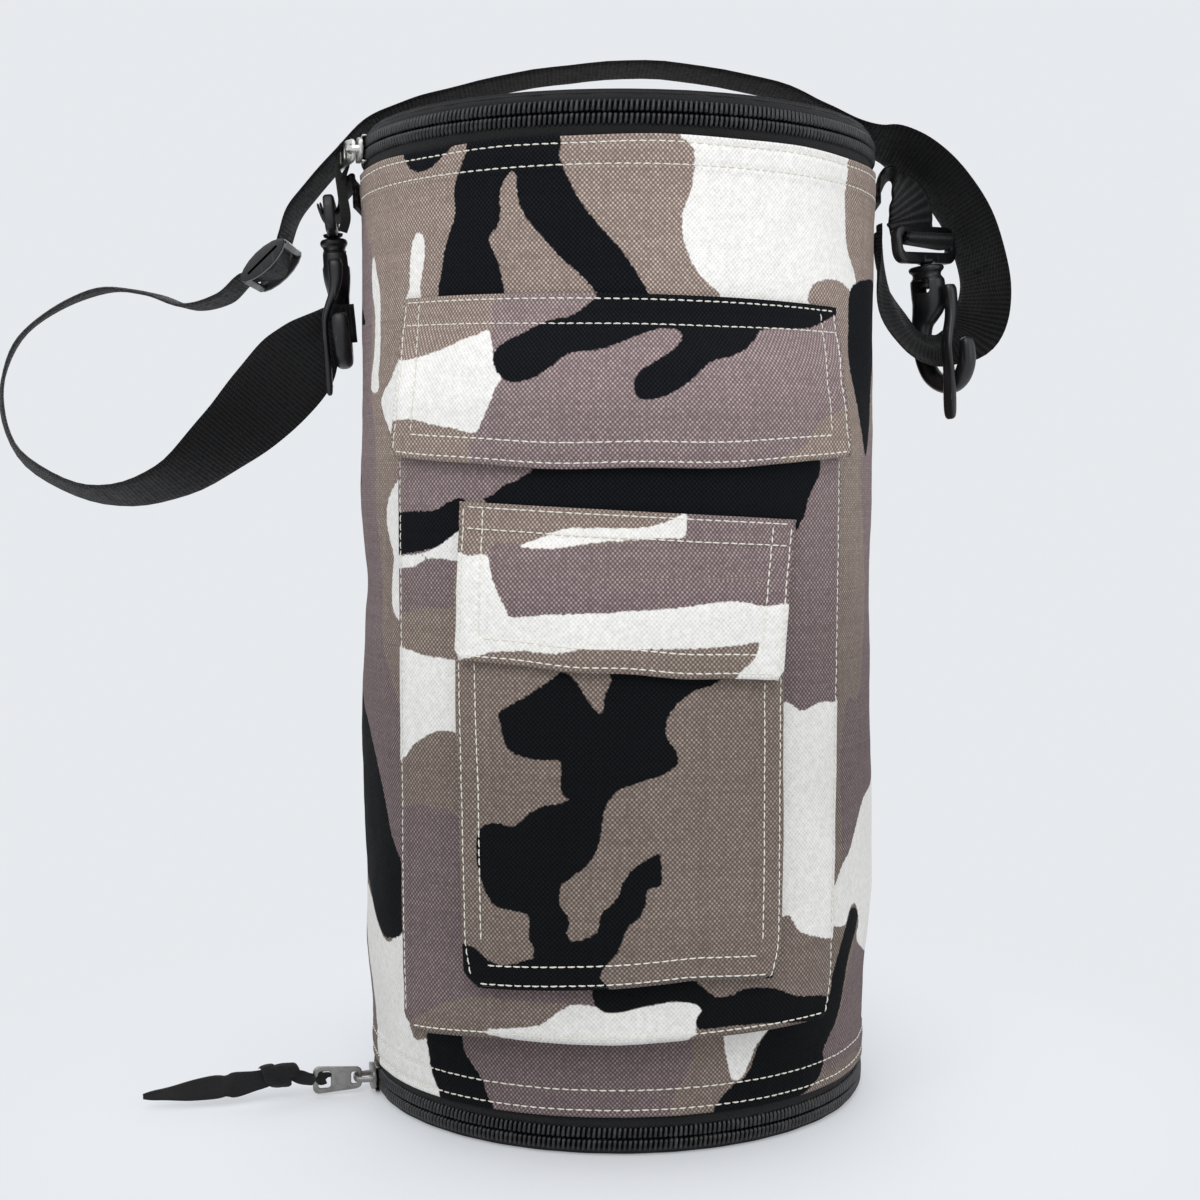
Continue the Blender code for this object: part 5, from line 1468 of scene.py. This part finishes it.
def hook(side, M, M_eye):
    eye = plate_bm(rounded_rect(48.0, 17.0, 6.0), [shift_rect(0, 0.6, 40.0, 7.8, 2.4)], 5.0, 1.55, 4)
    stem = bm_of(lathe([(0.2, -6.6), (4.6, -6.8), (4.2, -8.0), (2.5, -8.8), (2.35, -12.0), (2.35, -17.2), (3.2, -17.5), (3.9, -17.8), (4.0, -18.6), (3.8, -19.4), (3.2, -19.8), (0.2, -19.9)]))
    ob = from_bm(side + "_swivel_eye", join_bm(eye, stem), PLASTIC, M_eye)
    keep(ob, "bag", side + "_hook_eye")
    body_r = rod_pts([(0, 0, -9.3, 5.4, 4.2), (0, 0, -9.6, 7.4, 5.6), (0, 0, -10.6, 8.3, 6.2), (0, 0, -11.8, 8.0, 6.0), (0, 0, -12.9, 6.9, 5.2), (0, 0, -14.2, 6.7, 5.0),
                      (0, 0, -15.6, 7.6, 5.7), (0, 0, -17.0, 8.1, 6.1), (0, 0, -24.0, 8.1, 6.2), (-0.8, 0, -27.4, 7.7, 6.0), (-2.6, 0, -31.0, 6.4, 5.4), (-5.0, 0, -36.0, 4.7, 4.6),
                      (-6.1, 0, -44.0, 4.1, 4.2), (-5.4, 0, -52.0, 4.1, 4.1), (-2.6, 0, -59.0, 4.1, 4.1), (2.6, 0, -63.4, 4.1, 4.1), (8.6, 0, -64.6, 4.0, 4.0),
                      (14.0, 0, -61.6, 3.9, 4.0), (17.4, 0, -56.0, 3.7, 3.9), (18.5, 0, -50.0, 3.3, 3.7), (18.5, 0, -46.0, 2.9, 3.4), (18.4, 0, -44.6, 1.9, 2.4), (18.4, 0, -44.1, 0.6, 0.8)], 28, 4, 0.82, 0.0)
    ob = from_bm(side + "_snap_hook", bm_of(body_r), PLASTIC, M, 50.0)
    c = plate_bm(rounded_rect(9.6, 7.2, 1.8), [], 22.0, 0.3, 1)
    cut_ = from_bm("cut", c, PLASTIC, M @ Matrix.Translation((0, 0, -18.6)))
    carve(ob, cut_)
    cut_ = from_bm("cut", bm_of(lathe([(2.9, -17.0), (2.9, -5.0)], 28)), PLASTIC, M)
    carve(ob, cut_)
    ob.data.polygons.foreach_set("use_smooth", [True] * len(ob.data.polygons))
    ob.data.set_sharp_from_angle(angle=math.radians(38))
    keep(ob, side + "_hook", side + "_hook_body")
    g = rod_pts([(11.6, 0, -19.4, 1.0, 1.6), (11.6, 0, -19.7, 2.0, 2.6), (11.65, 0, -21.0, 2.7, 3.1), (11.8, 0, -23.0, 2.9, 3.2), (12.1, -0.4, -29.0, 2.7, 2.8), (12.3, -2.2, -35.0, 2.6, 2.0),
                 (12.5, -5.4, -42.0, 2.7, 1.6), (12.6, -7.0, -48.0, 2.8, 1.45), (12.6, -7.3, -58.0, 2.9, 1.4), (12.2, -7.4, -66.0, 3.1, 1.5), (11.8, -7.55, -72.0, 3.2, 1.6),
                 (11.5, -7.7, -77.0, 3.0, 1.5), (11.4, -7.75, -79.4, 2.4, 1.2), (11.4, -7.75, -80.3, 1.2, 0.6)], 20, 5, 0.75)
    # grip ribs across the thumb end
    zs = [np.mean([p[2] for p in r]) for r in g]
    g2 = []
    for r, z in zip(g, zs):
        k = 1.0 + (0.10 * max(0.0, math.sin((z + 64.0) * 2 * PI / 2.6)) if -78 < z < -63 else 0.0)
        c = np.mean(np.array(r), axis=0)
        g2.append([tuple(c + (np.array(p) - c) * (1, k, 1)) for p in r])
    gb = bm_of(g2)
    pin = bm_of(lathe([(0.2, -8.3), (1.5, -8.3), (1.8, -8.0), (1.8, 8.0), (1.5, 8.3), (0.2, 8.3)], 20))
    ob = from_bm(side + "_gate_lever", gb, PLASTIC, M, 45.0)
    keep(ob, side + "_gate", side + "_hook_gate")
    pin.free()


hook("right", R_HOOK, R_EYE)
hook("left", L_HOOK, L_HOOK)
tg_bm = plate_bm(rounded_rect(47.0, 27.0, 4.5), [shift_rect(0, 6.4, 40.0, 7.6, 1.8), shift_rect(0, -6.4, 40.0, 7.6, 1.8)], 3.0, 1.0, 3)
# the two end rails swell in the middle, so the webbing can't slip off
for sg in (-1, 1):
    lens = [(13.4 * math.sin(a), 4.3 * math.cos(a) ** 1.2 * c) for c in (1, -1) for a in (np.linspace(-1.45, 1.45, 9) if c > 0 else np.linspace(1.45, -1.45, 9))]
    rail = plate_bm(lens, [], 3.4, 0.8, 3)
    bmesh.ops.transform(rail, matrix=Matrix.Translation((21.8 * sg, 0, 0)) @ Matrix(((0, 1, 0, 0), (0, 0, 1, 0), (1, 0, 0, 0), (0, 0, 0, 1))), verts=rail.verts)
    join_bm(tg_bm, rail)
tg = from_bm("strap_tri_glide", tg_bm, PLASTIC, TG)
keep(tg, "tri_glide_body", "tri_glide")


def along(frame, pts_, w, t, turn):
    return [tuple(frame @ Vector((0, y, z))) + (w, t, turn) for y, z in pts_]


def tab(name, node, seam, frame_, turn, flip):
    wrap_ = [(-6.0, 10.4), (-5.3, 7.0), (-4.7, 3.6), (-3.0, 1.0), (0.0, 0.2), (3.2, 1.2), (4.6, 5.0)]
    st = [(x, y, z, 36.0, 2.3, t) for x, y, z, t in seam]
    st += along(frame_, [(y * flip, z) for y, z in wrap_], 36.0, 2.3, turn)
    ob = webbing(name, st, TAB_WEB, 36.0, 8, ((-0.27, 0.46), (0.27, 0.46)))
    keep(ob, "bag", node)
    return st


tab("right_webbing_tab", "right_tab", [(117.6, 1.0, 401.0, -2), (118.6, 1.0, 410.4, -6), (123.6, 1.4, 414.2, -24),
                                       (128.6, 2.2, 410.2, -33), (132.0, 3.7, 404.0, -39), (133.9, 5.2, 398.4, -41)], R_EYE, -42, -1)
tab("left_webbing_tab", "left_tab", [(-117.7, 0.0, 399.0, 0), (-118.0, 0.0, 408.0, 0), (-119.8, 0.0, 412.0, 0), (-122.8, -0.6, 410.4, 2)], L_HOOK, 6, -1)

W, T = 38.0, 1.8
# (x, y, z, width, thickness, turn, twist); a positive twist leans the near edge
# to the outside of the loop
STRAP = ([(119.2, 4.0, 391.0, 24.0, T, 0, 0), (120.4, 1.0, 373.0, 25.0, T, 0, 8), (124.8, -5.0, 353.5, 27.0, T, -8, 24), (132.4, -7.6, 341.0, 25.0, T, 16, 44)]
         + [tuple(R_HOOK @ Vector((2.0, n, h))) + (17.0, 2.2, 44, 60) for n, h in ((-8.0, -48.0), (0.0, -48.6), (8.0, -47.8))]
         + [(163.6, 8.0, 343.5, 27.0, T, 18, 38), (168.4, 8.0, 356.0, 34.0, T, 8, 28), (168.8, 8.0, 371.0, W, T, 0, 25),
            (162.8, 8.0, 391.5, W, T, 0, 25), (151.3, 8.0, 410.3, W, T, 0, 25), (138.5, 8.0, 423.0, W, T, 0, 24), (127.5, 8.0, 429.5, W, T, 0, 20),
            (118.0, 8.0, 432.4, W, T, 0, 12), (107.0, 7.0, 437.4, W, T, 0, 5), (92.0, 6.0, 446.0, W, T, 0, 0),
            (70.0, 4.0, 454.6, W, T, 0, 0), (20.0, 2.0, 463.0, W, T, 0, 0), (-30.0, 0.0, 460.0, W, T, 0, 0),
            (-76.0, -1.0, 450.6, W, T, 0, 0), (-97.0, -2.0, 444.0, W, T, 0, 0), (-113.0, -2.0, 436.4, W, T, 0, 0),
            (-128.0, -2.0, 421.5, W, T, 0, 0), (-140.8, -2.0, 407.0, W, T, 0, 0), (-147.5, -2.0, 398.0, W, T, 0, 0)]
         + [tuple(TG @ Vector((0, n, h))) + (W - 1, 1.4, 0, 0) for n, h in (
             (-5.0, 14.0), (-3.5, 11.2), (-0.4, 6.8), (2.7, 3.0), (3.7, 0.0), (2.7, -3.0), (0.0, -6.6), (-3.4, -11.2), (-4.2, -14.8))]
         + [(-180.0, -2.0, 359.5, W, T, 0, 0), (-196.0, -2.0, 356.0, W, T, 0, -2), (-213.0, -2.0, 361.5, W, T, 0, -3),
            (-234.0, -2.0, 363.5, W, T, 0, -5), (-256.0, -2.0, 355.5, W, T, 0, -10), (-275.0, -2.0, 340.0, W, T, 0, -15), (-283.2, -2.0, 314.0, W, T, 0, -19),
            (-273.5, -2.0, 287.0, W, T, 0, -16), (-240.0, -2.0, 270.0, W, T, 0, -14), (-205.0, -2.0, 276.5, W, T, 0, -23),
            (-177.0, -4.0, 297.5, W, T, 0, -46), (-159.0, -5.5, 315.0, W, T, 0, -68), (-146.5, -6.8, 329.0, 37.0, T, 0, -80), (-138.5, -6.6, 339.0, 29.0, T, 0, -86)]
         + [tuple(L_HOOK @ Vector((2.0, n, h))) + (17.5, 2.2, 0, -88) for n, h in ((-4.0, -47.6), (1.0, -47.8), (6.5, -47.8))])
fine_st = spline(STRAP, 6)
# cut where it crosses a joint: at each hook's mouth, in the loops and on the lid
near = lambda q: min(range(len(fine_st)), key=lambda i: (Vector(fine_st[i][:3]) - Vector(q)).length)
cuts = [0, near(R_HOOK @ Vector((2.0, 0.0, -48.6))), near((168.8, 8.0, 371.0)), near((-5.0, 1.0, 462.0)), near((-240.0, -2.0, 270.0)), len(fine_st) - 1]
run = 0.0
for k, (name, one, two, s, e) in enumerate((
        ("strap_right_end", "bag", "right_hook", (123.5, -4.0, 357.0), (134.5, -7.5, 339.0)),
        ("strap_right_mouth", "right_hook", "bag", (160.0, 6.0, 340.0), (168.5, 8.0, 366.0)),
        ("shoulder_strap_right", "bag", "top_lid", (140.0, 0.0, 412.0), (115.0, 0.0, 437.0)),
        ("shoulder_strap_left", "bag", "top_lid", (-135.0, 0.0, 420.0), (-114.0, 0.0, 441.0)),
        ("strap_left_end", "bag", "left_hook", (-190.0, -2.0, 287.0), (-148.0, -6.5, 327.0)))):
    part = fine_st[cuts[k]:cuts[k + 1] + 1]
    ob = webbing(name, fine_st[cuts[k]:cuts[k + 1] + 3], WEB, raw=True, u0=run)
    run += sum((Vector(b[:3]) - Vector(a[:3])).length for a, b in zip(part[:-1], part[1:]))
    ob.data.set_sharp_from_angle(angle=math.radians(60))
    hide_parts("shoulder_strap")
    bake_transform(ob)


# ------------------------------------------------------------------ sliders
SLIDER_AZ = -75.0


def slider(side, z_line, mat, dr):
    r_out, r_in = 117.1 - dr, 111.5 - dr
    fr = lambda r: Matrix.Translation(Vector(pol(r, SLIDER_AZ, z_line).tolist())) @ rot(SLIDER_AZ, "Z")
    outline = [tuple(p) for p in curve_closed([(-7.2, -3.2), (-5.6, -4.9), (-1.0, -5.5), (4.0, -4.7), (7.0, -3.0), (7.3, 0), (7.0, 3.0), (4.0, 4.7), (-1.0, 5.5), (-5.6, 4.9), (-7.2, 3.2), (-6.2, 0)], 4)]
    bm = plate_bm(outline, [], 1.5, 0.45, 3)
    bmesh.ops.transform(bm, matrix=Matrix.Translation((0, -0.75, 0)), verts=bm.verts)
    b2 = plate_bm(outline, [], 1.4, 0.4, 3)
    bmesh.ops.transform(b2, matrix=Matrix.Translation((0, r_out - r_in + 0.7, 0)), verts=b2.verts)
    join_bm(bm, b2)
    # side flanges that hold the coils in, and the wedge between them
    for sg in (-1, 1):
        f = plate_bm(rounded_rect(11.5, 0.9, 0.4, 2), [], 1.9, 0.2, 2)
        bmesh.ops.transform(f, matrix=Matrix.Translation((0.2, 0.9, sg * 4.95)) @ rot(-6 * sg, "Y"), verts=f.verts)
        join_bm(bm, f)
    wedge = plate_bm([(-6.0, -0.6), (-3.0, -0.45), (1.5, 0), (-3.0, 0.45), (-6.0, 0.6)], [], r_out - r_in, 0.1, 1)
    bmesh.ops.transform(wedge, matrix=Matrix.Translation((0, (r_out - r_in) / 2, 0)), verts=wedge.verts)
    join_bm(bm, wedge)
    top_r = 122.9 - (r_out + 0.0)
    arch = rod_pts([(-5.2, 0.0, 0, 0.8, 1.3), (-5.0, -1.6, 0, 0.85, 1.3), (-3.8, -top_r + 1.0, 0, 0.7, 1.2), (-1.6, -top_r, 0, 0.55, 1.1), (1.6, -top_r, 0, 0.55, 1.1), (3.8, -top_r + 1.0, 0, 0.7, 1.2), (5.0, -1.6, 0, 0.85, 1.3), (5.2, 0.0, 0, 0.8, 1.3)], 12, 4)
    # this bar lies in the local XY plane, so it is built with its own frame
    st = spline([(-5.2, 0.3, 1.3), (-5.0, -1.8, 1.3), (-3.9, -top_r + 1.1, 1.25), (-1.7, -top_r, 1.2), (1.7, -top_r, 1.2), (3.9, -top_r + 1.1, 1.25), (5.0, -1.8, 1.3), (5.2, 0.3, 1.3)], 4)
    rings = []
    for i, s in enumerate(st):
        a, b = st[max(i - 1, 0)], st[min(i + 1, len(st) - 1)]
        d = Vector((b[0] - a[0], b[1] - a[1], 0)).normalized()
        nn = Vector((-d.y, d.x, 0))
        rings.append([tuple(Vector((s[0], s[1], 0)) + nn * 0.62 * math.cos(2 * PI * k / 12) + Vector((0, 0, s[2])) * math.sin(2 * PI * k / 12)) for k in range(12)])
    join_bm(bm, bm_of(rings))
    ob = from_bm(side + "_zip_slider", bm, mat, fr(r_out))
    keep(ob, side + "_slider_body", side + "_slider")


slider("top", 421.8, NICKEL, 0.0)
slider("bottom", 7.0, DARK_NICKEL, 3.0)


def pull_frame(z_line, swing):
    at = Vector(pol(120.2, SLIDER_AZ, z_line).tolist())
    return Matrix.Translation(at) @ rot(SLIDER_AZ - 90.0 + swing, "Z")


def pull(side, z_line, swing, mat):
    f = pull_frame(z_line, swing)
    outer = [(x + 10.6, z * (0.80 + 0.20 * smooth01((x + 11.0) / 14.0))) for x, z in rounded_rect(22.0, 12.4, 2.8)]
    bm = plate_bm(outer, [shift_rect(16.4, 0, 5.6, 7.6, 1.2), shift_rect(2.9, 0, 3.0, 5.4, 0.9)], 1.6, 0.5, 3)
    # raised rim round the middle field
    for y in (-0.8, 0.8):
        e = plate_bm(rounded_rect(6.4, 6.4, 1.6, 3), [rounded_rect(4.6, 4.6, 1.0, 3)], 0.5, 0.12, 2)
        bmesh.ops.transform(e, matrix=Matrix.Translation((9.0, y, 0)), verts=e.verts)
        join_bm(bm, e)
    keep(from_bm(side + "_pull_tag", bm, mat, f), side + "_pull_body", side + "_pull")


pull("top", 421.8, -80.0, NICKEL)
pull("bottom", 7.0, 0.0, DARK_NICKEL)


def ribbon_piece(name, side, f, runs, node=None):
    """Ribbon runs in the pull's own frame, joined as one piece."""
    objs = []
    for i, st in enumerate(runs):
        o = webbing(f"{name}_{i}", st, RIBBON, 8.0, 5, ((0.0, 1.0),))
        o.data.transform(Matrix.Scale(1 / MM, 4))
        o.data.transform(f)
        o.data.transform(Matrix.Scale(MM, 4))
        objs.append(o)
    bm = bmesh.new()
    for o in objs:
        bm.from_mesh(o.data)
    me = objs[0].data.copy()
    bm.to_mesh(me)
    bm.free()
    ob = bpy.data.objects.new(name, me)
    bpy.context.scene.collection.objects.link(ob)
    for o in objs:
        bpy.data.objects.remove(o, do_unlink=True)
    ob.data.polygons.foreach_set("use_smooth", [True] * len(ob.data.polygons))
    keep(ob, side + "_pull_body", node)


ribbon_piece("top_ribbon_tail", "top", pull_frame(421.8, -80.0), [
    [(16.6, -1.9, 2.6, 4.6, 0.9, 90), (16.6, -0.2, 3.3, 4.6, 0.9, 90), (16.6, 1.7, 2.0, 4.6, 0.9, 90), (15.8, 2.7, -4.0, 4.8, 0.9, 70), (11.2, 3.1, -11.0, 5.0, 1.6, 30),
     (7.4, 2.8, -20.0, 5.0, 0.9, 10), (4.6, 2.6, -29.0, 5.0, 0.8, 10), (5.4, 3.8, -35.4, 4.4, 0.8, 10)],
    [(16.4, -1.9, 2.4, 4.6, 0.9, 90), (15.4, -2.4, -4.0, 4.6, 0.9, 80), (12.2, 0.6, -9.4, 4.6, 0.9, 50), (11.0, 2.0, -12.4, 4.4, 0.9, 30)]], "top_pull_ribbon")
knot = []
for i in range(31):
    ph = 2 * PI * 2.35 * i / 30
    x = 30.4 + 11.0 * i / 30 + 1.2 * math.sin(ph * 0.5)
    knot.append((x, 3.6 * math.cos(ph), 3.6 + 4.9 * math.sin(ph), 7.2, 1.1, 90))


def knot_band(name, path, mat):
    """A flat band wound round local X: its width lies along the winding's axis."""
    V, WV, rings, L = [], [], [], 0.0
    last = None
    for i, s in enumerate(path):
        a, b = Vector(path[max(i - 1, 0)][:3]), Vector(path[min(i + 1, len(path) - 1)][:3])
        d = (b - a).normalized()
        w = Vector((1, 0.12 * math.sin(i), 0.25 * math.cos(i * 0.5)))
        w = (w - d * w.dot(d)).normalized()
        nrm = d.cross(w).normalized()
        p = Vector(s[:3])
        if last is not None:
            L += (p - last).length
        last = p
        ring = []
        for sgn in (1, -1):
            for q in (np.linspace(-1, 1, 7) if sgn > 0 else np.linspace(1, -1, 7)):
                h = sgn * s[4] / 2 * max((1 - abs(q) ** 8) ** 0.5, 0.15) - 0.5 * q * q
                ring.append(tuple(p + w * s[3] / 2 * q + nrm * h))
                WV.append((q * 4, L, 0))
        rings.append(ring)
    v, f = tube_mesh(rings)
    return make(name, v, f, mat, None, {"wv": WV})


fb = pull_frame(7.0, 0.0)
kb = knot_band("bottom_ribbon_knot", knot, RIBBON)
kb.data.transform(Matrix.Scale(1 / MM, 4)); kb.data.transform(fb); kb.data.transform(Matrix.Scale(MM, 4))
keep(outward(kb), "bottom_pull_body", slot="bottom_pull_ribbon")
ribbon_piece("bottom_ribbon_tail", "bottom", fb, [
    [(16.5, 1.6, 1.6, 6.0, 1.0, 90), (19.6, 1.9, 0.8, 6.4, 1.0, 80), (24.0, 1.3, 1.2, 7.0, 1.1, 78), (30.0, 0.8, 3.0, 7.5, 1.2, 80), (38.0, 0.6, 3.6, 7.5, 1.2, 80), (46.0, 0.4, 2.2, 9.0, 1.1, 82),
     (56.0, 0.2, 1.0, 11.6, 1.0, 85), (64.0, 0.0, 0.6, 11.8, 1.0, 85), (78.0, 0.0, -0.6, 9.4, 1.0, 85), (90.0, -0.2, -1.2, 5.6, 0.9, 85), (96.0, -0.4, -1.5, 2.6, 0.9, 85)],
    [(16.5, 1.6, 1.6, 6.0, 1.0, 90), (16.6, 0.0, 2.9, 5.8, 1.0, 90), (16.8, -1.7, 1.6, 6.0, 1.0, 90), (20.4, -2.0, 0.6, 6.4, 1.0, 80), (25.0, -1.4, 1.4, 7.0, 1.1, 76), (31.0, -1.0, 3.4, 7.0, 1.2, 78), (37.0, -1.0, 4.4, 6.4, 1.2, 80), (43.0, -1.4, 6.4, 6.4, 1.0, 70)]], "bottom_pull_ribbon")


# ------------------------------------------------------------------ studio
def floor():
    bm = bmesh.new()
    bmesh.ops.create_circle(bm, cap_ends=True, segments=96, radius=7.0)
    me = bpy.data.meshes.new("studio_floor")
    bm.to_mesh(me)
    bm.free()
    ob = bpy.data.objects.new("studio_floor", me)
    bpy.context.scene.collection.objects.link(ob)
    ob.location = (0, 0, min(CAD_BOX[0][2], 0.0) - 0.0004)
    g = Net("floor_paper", 0.7)
    g.b.inputs["Specular IOR Level"].default_value = 0.2
    tooth = g.noise(600.0, 3.0)
    g.colour(g.mix(tooth, (0.77, 0.785, 0.81), (0.79, 0.805, 0.83)))
    g.normal(g.bump(tooth, 0.0001, 0.3))
    # away from the bag the floor fades into an even glow of the backdrop colour
    x, y, _ = g.split(g.obj())
    far = g.step(g.m("SQRT", g.m("ADD", g.m("MULTIPLY", x, x), g.m("MULTIPLY", y, y))), 0.11, 0.34, 0.35, 1.0)
    em = g.new("ShaderNodeEmission")
    em.inputs[0].default_value = (*BACKDROP, 1.0)
    mx = g.new("ShaderNodeMixShader")
    g.put(mx.inputs[0], far)
    g.nt.links.new(g.b.outputs[0], mx.inputs[1])
    g.nt.links.new(em.outputs[0], mx.inputs[2])
    out = next(n for n in g.nt.nodes if n.type == "OUTPUT_MATERIAL")
    g.nt.links.new(mx.outputs[0], out.inputs[0])
    me.materials.append(g.mat)


BACKDROP = (0.80, 0.82, 0.85)
floor()
world = bpy.data.worlds.new("studio")
world.use_nodes = True
bg = world.node_tree.nodes["Background"]
bg.inputs[0].default_value = (*BACKDROP, 1.0)
bg.inputs[1].default_value = 1.0
bpy.context.scene.world = world


def area(name, at, aim, size, power, colour=(1, 1, 1)):
    li = bpy.data.lights.new(name, "AREA")
    li.shape = "RECTANGLE"
    li.size, li.size_y = size
    li.energy = power
    li.color = colour
    o = bpy.data.objects.new(name, li)
    o.location = at
    o.rotation_euler = (Vector(aim) - Vector(at)).to_track_quat("-Z", "Y").to_euler()
    o.visible_camera = False
    bpy.context.scene.collection.objects.link(o)


area("key", (-0.5, -1.7, 1.6), (0, 0, 0.22), (1.4, 1.0), 16.0)
area("fill", (1.5, -1.0, 0.8), (0, 0, 0.22), (1.0, 1.4), 5.0)
area("top", (0.0, -0.2, 1.9), (0, 0, 0.4), (1.2, 1.2), 5.0)
area("back", (0.2, 1.9, 1.2), (0, 0, 0.25), (1.4, 1.0), 8.0)

cam_data = bpy.data.cameras.new("camera")
cam_data.lens = 56.85
cam_data.sensor_width = 36.0
cam_data.sensor_fit = "HORIZONTAL"
cam_data.clip_start, cam_data.clip_end = 0.01, 50.0
cam_data.dof.use_dof = False
cam = bpy.data.objects.new("camera", cam_data)
cam.location = (0.0, -0.874, 0.2741)
cam.rotation_euler = (math.radians(90.0 - 3.44), 0.0, math.radians(0.53))
bpy.context.scene.collection.objects.link(cam)
bpy.context.scene.camera = cam
bpy.context.scene.view_settings.view_transform = "Standard"
bpy.context.scene.view_settings.look = "None"
